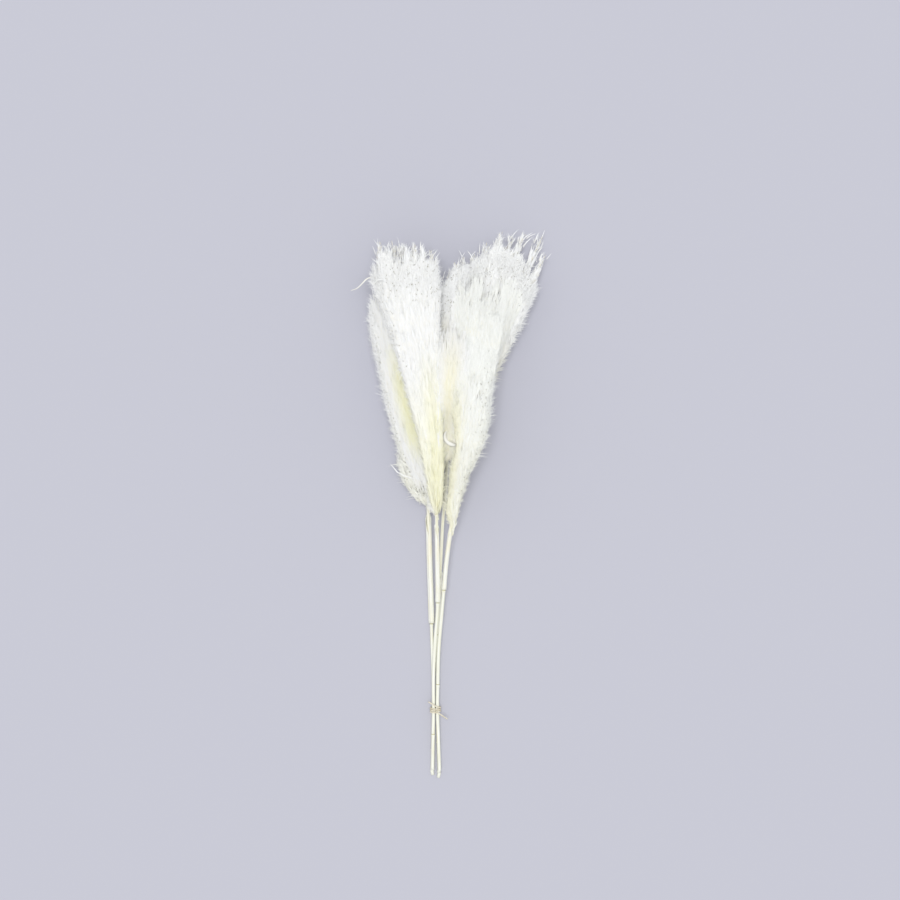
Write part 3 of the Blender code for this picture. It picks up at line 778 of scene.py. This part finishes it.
def add_spindles(form, foot, axis, out, length, radius, slot):
    """Small seed husks, pointed at both ends."""
    across = unit(np.cross(axis, out)) * radius
    thick = unit(np.cross(axis, np.cross(axis, out))) * radius * HUSK_FLATNESS
    middle = foot + axis * (length * HUSK_WIDEST)[:, None]
    ring = (middle + across, middle + thick, middle - across, middle - thick)
    points = np.stack((foot, *ring, foot + axis * length[:, None]), axis=1)
    points[:, :, 2] = np.maximum(points[:, :, 2], FLOOR_CLEARANCE)
    pattern = [(0, 2, 1), (0, 3, 2), (0, 4, 3), (0, 1, 4), (5, 1, 2), (5, 2, 3), (5, 3, 4), (5, 4, 1)]
    pattern = np.array(pattern)
    faces = (np.arange(len(foot))[:, None, None] * 6 + pattern[None]).reshape(-1, 3)
    u = np.tile(np.linspace(BAND_START, BAND_END, pattern.size), len(foot))
    v = np.repeat(np.linspace(0, 1, len(foot)), pattern.size)
    form.add(points, (faces, np.stack((u, v), axis=-1)), slot=slot)


def add_spikelets(form, path):
    """Seed husks in pairs along a branch's axis."""
    pairs = max(int(path.length / HUSK_SPACING), 4)
    count = 2 * pairs
    share = np.repeat((np.arange(pairs) + 0.5) / pairs, 2)
    share = np.clip(share + rng.uniform(-0.3, 0.3, count) / pairs, 0, 1)
    centre, along, side, up, width, _ = path.at(share)
    out = round_about(side, up)
    axis = unit(along + out * rng.uniform(0.2, 0.5, count)[:, None])
    length = rng.uniform(*HUSK_LENGTH, count)
    reach = np.minimum(width, 3.5 * MM) * rng.uniform(0.1, 0.75, count)
    foot = centre + out * (reach + 0.3 * MM)[:, None]
    add_spindles(form, foot, axis, out, length, HUSK_RADIUS, HUSK_SLOT)


# ---------------------------------------------------------------- materials


class Shading:
    """The nodes of a material or world, made and fed in one step each."""

    def __init__(self, tree):
        self.nodes, self.links = tree.nodes, tree.links

    def feed(self, node, inputs):
        """Sets a node's inputs, or links those that are given as another node's output."""
        for name, value in inputs.items():
            socket = node.inputs[name]
            if isinstance(value, bpy.types.NodeSocket):
                self.links.new(value, socket)
            else:
                socket.default_value = (*value, 1) if socket.type == "RGBA" else value
        return node

    def ramp(self, source, *stops):
        node = self.feed(self.nodes.new("ShaderNodeValToRGB"), {0: source})
        elements = node.color_ramp.elements
        while len(elements) < len(stops):
            elements.new(0.5)
        for element, (place, colour) in zip(elements, stops):
            element.position = place
            element.color = (*colour, 1)
        return node.outputs[0]

    def math(self, operation, *values):
        node = self.nodes.new("ShaderNodeMath")
        node.operation = operation
        return self.feed(node, dict(enumerate(values))).outputs[0]

    def multiply(self, colour, tint, factor=1.0):
        node = self.nodes.new("ShaderNodeMix")
        node.data_type = "RGBA"
        node.blend_type = "MULTIPLY"
        return self.feed(node, {0: factor, 6: colour, 7: tint}).outputs[2]

    def noise(self, dimensions, **inputs):
        node = self.nodes.new("ShaderNodeTexNoise")
        node.noise_dimensions = dimensions
        return self.feed(node, inputs).outputs[0]

    def stretched(self, place, across, along):
        node = self.nodes.new("ShaderNodeMapping")
        return self.feed(node, {"Scale": (across, along, 1), "Vector": place}).outputs[0]

    def uv_place(self):
        node = self.nodes.new("ShaderNodeUVMap")
        node.uv_map = UV_LAYER
        return node.outputs[0]


def new_material(name, roughness, specular):
    material = bpy.data.materials.new(name)
    material.use_nodes = True
    tree = Shading(material.node_tree)
    shader = tree.nodes["Principled BSDF"]
    tree.feed(shader, {"Roughness": roughness, "Specular IOR Level": specular})
    return material, tree, shader


def plume_material(name, bands, low, middle, high):
    """Silky hairs. V is a hair's tone, from the plume's warm foot and the painted shade at its heart and
    inside to its outside, and U runs from the hair's root to its tip in a band for each branch, which gives
    that branch its own slight tint."""
    material, tree, shader = new_material(name, 0.75, 0.3)
    u, v, _ = tree.feed(tree.nodes.new("ShaderNodeSeparateXYZ"), {0: tree.uv_place()}).outputs
    scaled = tree.math("MULTIPLY", u, float(bands))
    tint = tree.nodes.new("ShaderNodeTexWhiteNoise")
    tint.noise_dimensions = "1D"
    tree.feed(tint, {"W": tree.math("FLOOR", scaled)})
    streaks = tree.noise("1D", Scale=70.0, W=v)
    # the low end of this ramp is the painted shade where the plumes meet and inside them, as well as the warm
    # foot
    colour = tree.ramp(v, (0.0, low), (0.4, middle), (0.8, high))
    from_root = tree.ramp(tree.math("FRACT", scaled), (0.0, (0.985, 0.965, 0.90)), (0.5, WHITE))
    colour = tree.multiply(colour, from_root)
    colour = tree.multiply(colour, tree.ramp(tint.outputs[0], (0.0, WHITE), (1.0, (0.98, 0.985, 0.995))))
    colour = tree.multiply(colour, tree.ramp(streaks, (0.3, (0.96, 0.955, 0.94)), (0.6, WHITE)), 0.8)
    tree.feed(shader, {"Base Color": colour})
    return material


def straw_material(name, light, dark, ribs, length, roughness=0.55, bump=0.25):
    """Dry stem or sheath, its length in mm: fine ribs along it, slow blotches and a faint silky gloss."""
    material, tree, shader = new_material(name, roughness, 0.35)
    place = tree.uv_place()
    relief = tree.noise("2D", Scale=1.0, Detail=5.0, Vector=tree.stretched(place, ribs, length * 0.035))
    blotches = tree.noise("2D", Scale=1.0, Vector=tree.stretched(place, 2.0, length * 0.02))
    tone = tree.ramp(relief, (0.36, dark), (0.62, light))
    warm = tree.ramp(blotches, (0.45, WHITE), (0.75, (1.0, 0.96, 0.85)))
    ribbed = tree.nodes.new("ShaderNodeBump")
    tree.feed(ribbed, {"Strength": bump, "Distance": 0.2 * MM, "Height": relief})
    tree.feed(shader, {"Base Color": tree.multiply(tone, warm), "Normal": ribbed.outputs[0]})
    return material


def floor_material(colour):
    material, tree, shader = new_material("floor_paint", 0.9, 0.1)
    tree.feed(shader, {"Base Color": colour})
    return material


# ---------------------------------------------------------------- plumes


def finish_piece(obj, slot, *nodes):
    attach(obj, BODY)
    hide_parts(*nodes)


def branch_nodes(number):
    """The names of a plume's branches, in rows from the lowest."""
    rows, first = [], 1
    for size in ROWS[number]:
        rows.append([f"plume_{number}_branch_{i:02d}" for i in range(first, first + size)])
        first += size
    return rows


def grown_path(name, stem, stem_top, foot_length, foot_aside):
    """A branch's path with its foot on the stem added in front of the CAD solid's own start."""
    centres, widths, heights = sections(name, BRANCH_SAMPLES)
    foot_y = min(centres[0, 1] - foot_length, stem_top - 1 * MM)
    foot = sections(stem, 1, foot_y, foot_y)[0] + np.array([foot_aside, 0, 0])
    steps = int((centres[0, 1] - foot_y) / (centres[1, 1] - centres[0, 1]))
    t = np.linspace(0, 1, steps + 1)[:-1]
    ease = 0.5 + 0.5 * t
    start = foot * (1 - t[:, None]) + centres[:1] * t[:, None]
    return joined((start, widths[0] * ease, heights[0] * ease), (centres, widths, heights))


def plume_rows(number):
    """The paths of a plume's branches, in rows from the lowest."""
    stem = f"stem_{number}"
    stem_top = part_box(stem)[1][1]
    down, aside = (value * MM for value in FOOT[number])
    rows = branch_nodes(number)
    return [[grown_path(name, stem, stem_top, down, aside) for name in names] for names in rows]


def between(first, second, end):
    """A finer strand half-way between two branches, up to a share of their length."""
    shares = np.linspace(0, end, BRANCH_SAMPLES)
    middle = [(a + b) / 2 for a, b in zip(first.at(shares), second.at(shares))]
    return Path(middle[0], middle[4] * FINER, middle[5] * FINER)


def row_strands(number, branches):
    """A row's branches with a strand between each two, how early each thins out, and its reach."""
    strands, narrows = [], []
    left, right = NARROWING[number]
    first_end, last_end = BETWEEN_ENDS[number]
    gaps = len(branches) - 1
    for k, branch in enumerate(branches):
        strands.append(branch)
        narrows.append([a + (b - a) * k / gaps for a, b in zip(left, right)])
        if k < gaps:
            end = first_end + (last_end - first_end) * (k + 0.5) / gaps
            end += rng.uniform(-END_JITTER, END_JITTER)
            strands.append(between(branch, branches[k + 1], end))
            narrows.append(NARROWING_BETWEEN)
    reaches = [row_reach(strands, k, number) for k in range(len(strands))]
    return zip(strands, narrows, reaches)


def settled(path, leave, run, end):
    """A branch's path that goes on past its end: from a share of its length on it sinks over a run to the
    height end."""
    centres, along, _, _, widths, heights = path.at(np.linspace(0, leave, BRANCH_SAMPLES))
    shares = np.linspace(0, 1, ONWARD_SAMPLES + 1)[1:]
    onward = centres[-1] + unit(along[-1] * np.array([1, 1, 0])) * (shares * run)[:, None]
    onward[:, 2] = centres[-1, 2] + (end - centres[-1, 2]) * smoothstep(0.1, 1.0, shares)
    thinner = heights[-1] + (2.0 * MM - heights[-1]) * shares
    return joined((centres, widths, heights), (onward, np.full(ONWARD_SAMPLES, widths[-1]), thinner))


def add_seam(coat, strands, tone, ends, depth, clumps):
    """Fine hairs that close the space between strands and grow sparse at its ends. ends holds where they
    stop along each strand, and depth how ragged that end is."""
    sheet = Sheet(strands)
    end = sheet.ragged_end(ends, depth)
    place = rng.uniform(0, sheet.last, clumps)
    share = end(place) * (1 - rng.uniform(0, 1, clumps) ** 0.8)
    kept = share > rng.uniform(0, 0.1, clumps)
    place, share = place[kept], share[kept]
    add_clumps(coat, MANTLE, *sheet.at(place, share), tone(place, share))


# The tones of the seams' hairs, at a place across, counted in strands from the left, and a share of their
# length. The wedge, heart and throat tones are painted shade, darker where the plumes meet.


# painted shade: darker and warmer next to the higher plume's edge
def wedge_painted_shade(place, share):
    shade = smoothstep(0.0, 0.75, place) * smoothstep(0.05, 0.3, share)
    return 0.9 - 0.72 * shade * (1 - smoothstep(0.5, 0.9, share))


# painted shade: darker in the middle of the gap between two plumes
def heart_painted_shade(place, share):
    return 0.85 - 0.6 * smoothstep(0.0, 0.9, 1 - np.abs(place - 1)) * (1 - smoothstep(0.5, 1.0, share))


def foot_tone(place, share):
    return 0.7 - 0.25 * share


# painted shade: darkest in the hollow between the plumes under the curled leaf tip
def throat_painted_shade(place, share):
    return 0.3 + 0.3 * np.abs(2 * place - 1)


def outside_tone(place, share):
    return np.full(len(share), 0.85)


def add_seams(coat, number, plumes):
    """The hairs that join a plume's surface to its neighbours'."""

    def parts(low, high, *branches):
        return [plumes[plume][row][place].trimmed(low, high) for plume, row, place in branches]

    if number == 1:
        left, right = parts(20, 226, (1, UPPER, 0), (2, MIDDLE, 0))
        strands = [left, right.raised(left.centres[:, 2] + 23 * MM)]
        add_seam(coat, strands, wedge_painted_shade, ends=(1, 1), depth=0.1, clumps=1700)
        left, right = parts(-6, 85, (1, UPPER, 2), (2, UPPER, 0))
        heights = 24 * MM + 10 * MM * left.shares
        strands = [left.raised(heights), right.raised(heights + 15 * MM)]
        add_seam(coat, strands, foot_tone, ends=(1, 1), depth=0.1, clumps=300)
    if number == 3:
        left, middle, right = parts(60, 205, (2, UPPER, -1), (3, UPPER, 0), (4, UPPER, 0))
        heights = 56 * MM + 11 * MM * smoothstep(0.15, 0.4, middle.shares)
        heights += (middle.centres[:, 2] - heights) * smoothstep(0.65, 1.0, middle.shares)
        strands = [left, middle.raised(heights), right]
        add_seam(coat, strands, heart_painted_shade, ends=(0.95, 1.05, 1), depth=0.35, clumps=2100)
        left, right = parts(57, 80, (2, UPPER, -1), (4, UPPER, 0))
        heights = 53 * MM + 6 * MM * left.shares
        strands = [left.raised(heights), right.raised(heights)]
        add_seam(coat, strands, throat_painted_shade, ends=(1, 1), depth=0.3, clumps=400)
    if number == 4:
        left, right = parts(140, 250, (3, UPPER, 0), (3, UPPER, -1))
        over = (settled(path, leave=0.85, run=78 * MM, end=30 * MM) for path in plumes[4][UPPER])
        first, last = (path.trimmed(140, 250) for path in over)
        strands = [left, first.shifted(-6 * MM, -1 * MM), first, last, last.shifted(6 * MM, -1 * MM), right]
        add_seam(coat, strands, outside_tone, ends=(0.95, 1, 1, 1, 1, 0.95), depth=0.3, clumps=3200)


def add_surface(coat, core, number, plumes):
    """A plume's mantle over its upper row, with its fringe, curls, seams and single locks."""
    _, (leftmost, *_), strands = plumes[number]
    if number in LEFT_SHOULDER:
        strands = [leftmost.shifted(0, LEFT_SHOULDER[number] * MM), *strands]
    sheet = row_sheet(strands, number)
    ends = MANTLE_ENDS[number]
    add_mantle(coat, sheet, MANTLE_CLUMPS[number], ends, PARTING[number])
    add_fringe(coat, sheet, EDGE_CLUMPS[number], END_CLUMPS[number], ends)
    add_curls(coat, core, sheet, CURLS[number], ends)
    add_seams(coat, number, plumes)
    for route in LOCKS.get(number, ()):
        add_lock(coat, route)


def add_sides(coat, number, rows):
    """The hairs that close a plume's left and right sides."""
    for end, sign in ((0, -1), (-1, 1)):
        reaches = [row_reach(paths, end % len(paths), number)[max(sign, 0)] for paths in rows]
        add_side(coat, [paths[end] for paths in rows], reaches, sign, MANTLE_ENDS[number][end])


def make_plume(number, plumes, hair_look, core_looks):
    """One plume: its fluff, a piece for each row of branches, and its branch axes with their husks."""
    rows = plumes[number]
    envelope = Envelope([path for paths in rows for path in paths], TONE_AND_HEART_SHADE[number])
    bands = 2 * sum(ROWS[number])
    core = Form()
    index = 0
    for row, (names, branches) in enumerate(zip(branch_nodes(number), rows)):
        form = Form()
        for path, narrow, reach in row_strands(number, branches):
            coat = Coat(form, envelope, (index / bands, (index + 1) / bands))
            for kind, density in zip((DOWN, SILK, FRIZZ), LOCKS_A_MM[number]):
                locks = int(path.length / MM * density * ROW_DENSITY[row])
                add_locks(coat, path, reach, narrow, kind, locks)
            add_tips(coat, path, narrow[0])
            add_wisps(coat, path)
            index += 1
        if row == UPPER:
            add_surface(coat, core, number, plumes)
        if row == MIDDLE:
            add_sides(coat, number, rows)
        if row == LOWER:
            under, ends = MANTLE_CLUMPS[number] // OVER_TO_UNDER, MANTLE_ENDS[number]
            add_mantle(coat, row_sheet(branches, number), under, ends, UNDER_PARTING, crown=-1)
        for path in branches:
            centres = path.centres[::3]
            add_tube(core, centres, np.linspace(0.5, 0.22, len(centres)) * MM, sides=4, slot=AXIS_SLOT)
            add_spikelets(core, path)
        finish_piece(form.make(f"plume_{number}_{ROW_NAMES[row]}_fluff", [hair_look]), "plume", *names)
    every = [name for names in branch_nodes(number) for name in names]
    finish_piece(core.make(f"plume_{number}_branch_axes", core_looks), "plume", *every)


# ---------------------------------------------------------------- stems, leaves and twine

RINGS = {1: (28, 164), 2: (38, 182, 279), 3: (39, 155), 4: (95, 199)}  # mm from each stem's cut end
RING_SAMPLES = np.array([-3.4, -2.4, -1.6, -0.9, -0.3, 0.2, 0.7, 1.3, 2.0, 3.0]) * MM
STEM_SAMPLES, STEM_SIDES = 90, 14
LEAST_STEM, STEM_FOOT, STEM_TOP = 1.85 * MM, 2.08 * MM, 1.8 * MM  # radii
RING_SHAPE = ((0.17, -0.3, 0.9), (-0.07, 1.4, 0.6))  # swelling and groove: share of the radius, place, width
RING_LINE = np.array([0.9, 1.4, 1.9]) * MM  # the brown line's points above a ring
RING_LINE_PROUD = 0.08 * MM
SHEATH_ROWS, SHEATH_COLUMNS = 36, 20
SHEATH_LEAN = {1: 100, 2: 70, 3: 110, 4: 118}  # degrees by which its lap is turned round the stem
SHEATH_EXTRA = {1: 0.5 * MM}  # on its radius
SHEATH_WIDEST, SHEATH_THICKNESS, SHEATH_LAP, SHEATH_FLARE = 3.2 * MM, 0.28 * MM, 0.34 * MM, 0.25 * MM
SHEATH_WRAP, SHEATH_PARTING = math.radians(395), math.radians(150)
SHEATH_MOUTH = 5 * MM  # how much further its back reaches than its edges
# The shares of its length from which its edges part, its mouth slants and it flares.
SHEATH_PARTS, SHEATH_SLANTS, SHEATH_FLARES = 0.72, 0.8, 0.9
SHEATH_INSET, END_INSET = 0.15 * MM, 0.1 * MM  # inside its solid: its outside, and its ends
TWINE_RADIUS, TWINE_TURNS, TWINE_PITCH, TWINE_START = 0.8 * MM, 3, 1.95 * MM, math.radians(70)
TWINE_SLACK, TWINE_SAMPLES, TURN_SAMPLES = 0.3 * MM, 460, 30
TWINE_CORNER = 2.2  # how squarely it goes round the outer stems
TWINE_END, TWINE_DROOP = 13 * MM, 2.0 * MM
TWINE_LEAVES = np.array([-0.8, 0.5, 0.45])  # the way its loose end goes
PLIES, PLY_RADIUS, PLY_OFFSET, PLY_LAY, PLY_TIP = 3, 0.43 * MM, 0.40 * MM, 3.6 * MM, 0.3 * MM
LEAF_LIFT, LEAF_WAVE = 5.0 * MM, 1.0 * MM  # of the curled leaf's line over its solid


def make_stem(number, look, joint):
    """A culm with its rings, each a narrow swelling with a groove and a thin brown line above it."""
    name = f"stem_{number}"
    low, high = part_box(name)[0][1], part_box(name)[1][1]
    inner = low + 0.05 * MM, high - 0.05 * MM
    rings = [low + ring * MM for ring in RINGS[number]]
    centres, widths, _ = sections(name, STEM_SAMPLES, *inner)
    near_rings = [ring + RING_SAMPLES for ring in rings]
    ys = np.unique(np.concatenate([np.linspace(*inner, STEM_SAMPLES), *near_rings]))
    points = read_points(ys, centres[:, 1], centres)
    radii = np.interp(ys, centres[:, 1], np.minimum.accumulate(widths))
    most = np.interp(ys, [low, high], [STEM_FOOT, STEM_TOP])
    radii = np.clip(radii, LEAST_STEM, np.maximum(most, LEAST_STEM))
    for ring in rings:
        off = (ys - ring) / MM
        radii = radii * (1 + sum(h * np.exp(-(((off - at) / width) ** 2)) for h, at, width in RING_SHAPE))
    form = Form()
    add_tube(form, points, radii, STEM_SIDES)
    for ring in rings:
        place = ring + RING_LINE
        line = read_points(place, ys, points)
        add_tube(form, line, np.interp(place, ys, radii) + RING_LINE_PROUD, STEM_SIDES, slot=1)
    finish_piece(form.make(f"stem_{number}_culm", [look, joint]), "stem", name)


def make_sheath(number, look):
    """A leaf sheath: a thin leaf rolled round the stem. Its edges lap below and part towards its mouth."""
    name, stem = f"leaf_sheath_{number}", f"stem_{number}"
    low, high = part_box(name)[0][1] + END_INSET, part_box(name)[1][1] - END_INSET
    rows, columns = SHEATH_ROWS, SHEATH_COLUMNS
    centres, _, _ = sections(stem, rows, low, high)
    _, outer, _ = sections(name, rows, low, high)
    outer = np.maximum.accumulate(np.minimum(outer, SHEATH_WIDEST)[::-1])[::-1] + SHEATH_EXTRA.get(number, 0)
    share = np.linspace(0, 1, rows)[:, None]
    across = np.linspace(-0.5, 0.5, columns)[None]
    turn = SHEATH_WRAP - SHEATH_PARTING * smoothstep(SHEATH_PARTS, 1.0, share)
    angle = math.radians(SHEATH_LEAN[number]) + math.pi + across * turn
    lap = SHEATH_LAP * across * (turn > 2 * math.pi)
    y = np.linspace(low, high, rows)[:, None]
    y = y - SHEATH_MOUTH * smoothstep(SHEATH_SLANTS, 1.0, share) * (1 - np.cos(across * math.pi))
    flare = SHEATH_FLARE * smoothstep(SHEATH_FLARES, 1.0, share)
    points = []
    for inset in (0, SHEATH_THICKNESS):
        radius = outer[:, None] - SHEATH_INSET + lap - inset + flare
        x = centres[:, :1] + radius * np.cos(angle)
        points.append(np.stack((x, y, centres[:, 2:] + radius * np.sin(angle)), axis=-1))
    row, column = squares(rows, columns)
    square = row * columns + column
    uvs = np.stack((column / (columns - 1), row / (rows - 1)), axis=-1)
    outward = [0, 3, 2, 1]
    last_row, last_column = rows - 1, columns - 1
    rim = [(i, 0) for i in range(last_row)] + [(last_row, j) for j in range(last_column)]
    rim += [(i, last_column) for i in range(last_row, 0, -1)] + [(0, j) for j in range(last_column, 0, -1)]
    rim = np.array([(*a, *b) for a, b in zip(rim, rim[1:] + rim[:1])])
    rim_row, rim_column = rim[:, [0, 0, 2, 2]], rim[:, [1, 1, 3, 3]]
    rim_uvs = np.stack((rim_column / last_column, rim_row / last_row), axis=-1)
    inside = rows * columns
    closing = rim_row * columns + rim_column + np.array([0, inside, inside, 0])
    form = Form()
    form.add(points, (square[:, outward], uvs[:, outward]), (square + inside, uvs), (closing, rim_uvs))
    finish_piece(form.make(f"leaf_sheath_{number}_leaf", [look]), "sheath", name)


def at_node(node, route):
    """A route given in mm on a plane, moved so that its middle is the node's middle."""
    low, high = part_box(node)
    route = np.asarray(route, dtype=float) * MM
    points = np.tile([(low[k] + high[k]) / 2 for k in range(3)], (len(route), 1))
    points[:, :2] += route - (route.min(axis=0) + route.max(axis=0)) / 2
    return points


def curled_leaf_line():
    """The curled leaf tip's middle line: it lies over the hairs, rises a little and dips towards its end."""
    route = [(21.0, 288.6), (16.5, 289.6), (12.2, 292.2), (9.6, 297.2), (10.6, 302), (13.6, 304.4)]
    shares = np.linspace(0, 1, 30)
    points = through(at_node("curled_leaf_tip", route), shares)
    points[:, 2] += LEAF_LIFT + LEAF_WAVE * np.sin(shares * 5)
    return points


def make_curled_leaf(look, points):
    marks, widths = [0, 0.2, 0.45, 0.75, 1], np.array([1.7, 2.3, 2.0, 1.4, 0.4]) * MM
    form = Form()
    radii = np.interp(np.linspace(0, 1, len(points)), marks, widths)
    add_tube(form, points, radii, sides=10, flat=0.4)
    finish_piece(form.make("curled_leaf_tip_blade", [look]), "leaf", "curled_leaf_tip")


def make_stray(look):
    """The stray branch. Its first points lie in the plume's fluff, out of which it leads."""
    route = at_node("stray_branch", [(-69, 467.8), (-74.5, 465.6), (-79, 461), (-84.5, 456), (-91, 453.6)])
    inner = route[0] + np.array([[14.0, -1.5, 1.0], [7.0, 0.6, 0.5]]) * MM
    shares = np.linspace(0, 1, 34)
    radii = np.interp(shares, [0, 0.15, 0.6, 1], np.array([0.5, 0.95, 0.85, 0.25]) * MM)
    form = Form()
    add_tube(form, through(np.concatenate((inner, route)), shares), radii, sides=8, flat=0.7)
    finish_piece(form.make("stray_branch_strand", [look]), "plume", "stray_branch")


def twine_line():
    """Three turns round the stems, and the two loose ends."""
    low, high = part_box("twine_tie")
    middle_y = (low[1] + high[1]) / 2
    stems = [sections(f"stem_{number}", 1, middle_y, middle_y) for number in PLUMES]
    centres = np.array([centre for (centre,), _, _ in stems])
    reach = max(float(width[0]) for _, width, _ in stems) + TWINE_SLACK + TWINE_RADIUS
    least, most = centres.min(axis=0), centres.max(axis=0)
    across, _, up = (most - least) / 2
    turn = np.linspace(0, TWINE_TURNS, TURN_SAMPLES * TWINE_TURNS + 1)
    angle = TWINE_START + turn * 2 * math.pi
    x, z = (
        half * np.clip(TWINE_CORNER * swing, -1, 1) + reach * swing
        for half, swing in ((across, np.cos(angle)), (up, np.sin(angle)))
    )
    wound = np.stack((x, (turn - TWINE_TURNS / 2) * TWINE_PITCH, z), axis=-1) + (least + most) / 2
    far = np.linspace(0.15, 1, 8)[:, None]
    before, after = (
        wound[end] + far * TWINE_END * TWINE_LEAVES * [sign, sign, 1] - far**2 * TWINE_DROOP * UP
        for end, sign in ((0, -1), (-1, 1))
    )
    return through(np.concatenate((before[::-1], wound, after)), np.linspace(0, 1, TWINE_SAMPLES))


def make_twine(look):
    """The twine, laid of plies."""
    line = twine_line()
    run = np.concatenate(([0], np.cumsum(np.linalg.norm(np.diff(line, axis=0), axis=1))))
    side, over = sides_along(line)
    radii = np.full(len(line), PLY_RADIUS)
    radii[:3] = radii[-3:] = PLY_TIP
    form = Form()
    for ply in range(PLIES):
        twist = 2 * math.pi * (run / PLY_LAY + ply / PLIES)
        offset = PLY_OFFSET * combined((side, np.cos(twist)), (over, np.sin(twist)))
        add_tube(form, line + offset, radii, sides=5, u_range=(ply / PLIES, (ply + 1) / PLIES))
    finish_piece(form.make("twine_tie_plies", [look]), "twine", "twine_tie")


# ---------------------------------------------------------------- the object

CURLED_LEAF = curled_leaf_line()

white = (0.975, 0.98, 0.975)
plume_looks = {  # linear colours of its warm foot and of the painted shade at its heart, its middle and its outside
    1: ((0.94, 0.93, 0.62), (0.96, 0.96, 0.84), white),
    2: ((0.96, 0.95, 0.76), (0.97, 0.966, 0.86), white),
    3: ((0.965, 0.93, 0.68), (0.97, 0.96, 0.87), white),
    4: ((0.965, 0.95, 0.79), (0.97, 0.968, 0.88), (0.97, 0.978, 0.945)),
}
core_looks = [
    straw_material("branch_axis", (0.92, 0.90, 0.78), (0.84, 0.80, 0.64), ribs=4, length=200),
    straw_material("husk", (0.93, 0.90, 0.80), (0.80, 0.74, 0.58), ribs=3, length=60),
    # real husks coloured dark as painted shade for the shadowed gaps between curls
    straw_material("husk_painted_shade_speck", (0.62, 0.62, 0.56), (0.46, 0.45, 0.38), ribs=3, length=60),
]
plumes = {number: plume_rows(number) for number in PLUMES}
for number in PLUMES:
    hairs = plume_material(f"plume_{number}_hairs", 2 * sum(ROWS[number]), *plume_looks[number])
    make_plume(number, plumes, hairs, core_looks)

for number in PLUMES:
    culm = straw_material(f"culm_{number}", (0.95, 0.96, 0.89), (0.86, 0.86, 0.70), ribs=14, length=450)
    joint = straw_material(f"joint_{number}", (0.74, 0.72, 0.46), (0.60, 0.57, 0.34), ribs=6, length=20)
    make_stem(number, culm, joint)
    colours = (0.96, 0.97, 0.92), (0.90, 0.89, 0.76)
    make_sheath(number, straw_material(f"sheath_{number}", *colours, ribs=22, length=120, bump=0.4))

leaf = straw_material("curled_leaf", (0.97, 0.97, 0.95), (0.94, 0.93, 0.86), ribs=5, length=40)
make_curled_leaf(leaf, CURLED_LEAF)
make_stray(straw_material("stray_strand", (0.96, 0.96, 0.93), (0.90, 0.89, 0.82), ribs=4, length=40))
colours = (0.90, 0.86, 0.74), (0.70, 0.64, 0.50)
make_twine(straw_material("twine", *colours, ribs=5, length=900, roughness=0.85, bump=0.5))

# ---------------------------------------------------------------- floor, light and camera

FLOOR_COLOUR = (0.546, 0.548, 0.616)
BACKDROP_COLOUR = (0.585, 0.591, 0.672)  # about what the floor looks like in the light
SOFT_LIGHT = (0.97, 0.98, 1.0)
CAMERA_HEIGHT = 2.4
CAMERA_PLACE = (0.00098, 0.06135, CAMERA_HEIGHT)
SENSOR_WIDTH = 36
VIEW_WIDTH, VIEW_LEVEL = 0.972, 0.03  # how much the camera sees across, and at which height

bpy.ops.mesh.primitive_plane_add(size=40, location=(0, 0, 0))
floor = bpy.context.object
floor.name = "floor"
floor.data.materials.append(floor_material(FLOOR_COLOUR))


def sun(name, azimuth, elevation, width, strength):
    """A lamp as far off as the sun but as broad as a soft box. The azimuth is from +X, and all in degrees."""
    light = bpy.data.lights.new(name, "SUN")
    light.angle = math.radians(width)
    light.energy = strength
    obj = bpy.data.objects.new(name, light)
    a, e = math.radians(azimuth), math.radians(elevation)
    toward = Vector((math.cos(a) * math.cos(e), math.sin(a) * math.cos(e), math.sin(e)))
    obj.rotation_euler = toward.to_track_quat("Z", "Y").to_euler()
    bpy.context.scene.collection.objects.link(obj)


def soft_room(lit, seen):
    """A world that lights evenly, and that looks like the floor's far end to the camera."""
    world = bpy.data.worlds.new("soft_room")
    bpy.context.scene.world = world
    world.use_nodes = True
    tree = Shading(world.node_tree)
    light = tree.feed(tree.nodes["Background"], {"Color": SOFT_LIGHT, "Strength": lit})
    backdrop = tree.feed(tree.nodes.new("ShaderNodeBackground"), {"Color": seen})
    rays = tree.nodes.new("ShaderNodeLightPath").outputs
    direct = tree.math("MAXIMUM", rays["Is Camera Ray"], rays["Is Glossy Ray"])
    direct = tree.math("MAXIMUM", direct, rays["Is Transmission Ray"])
    mix = tree.nodes.new("ShaderNodeMixShader")
    tree.feed(mix, {0: direct, 1: light.outputs[0], 2: backdrop.outputs[0]})
    tree.feed(tree.nodes["World Output"], {0: mix.outputs[0]})


sun("overhead", azimuth=120, elevation=88, width=24, strength=1.64)
soft_room(lit=0.58, seen=BACKDROP_COLOUR)

camera_data = bpy.data.cameras.new("camera")
camera_data.sensor_width = SENSOR_WIDTH
camera_data.lens = SENSOR_WIDTH * (CAMERA_HEIGHT - VIEW_LEVEL) / VIEW_WIDTH
camera_data.clip_end = 20
camera = bpy.data.objects.new("camera", camera_data)
camera.location = CAMERA_PLACE
bpy.context.scene.collection.objects.link(camera)
bpy.context.scene.camera = camera
bpy.context.scene.view_settings.view_transform = "Standard"
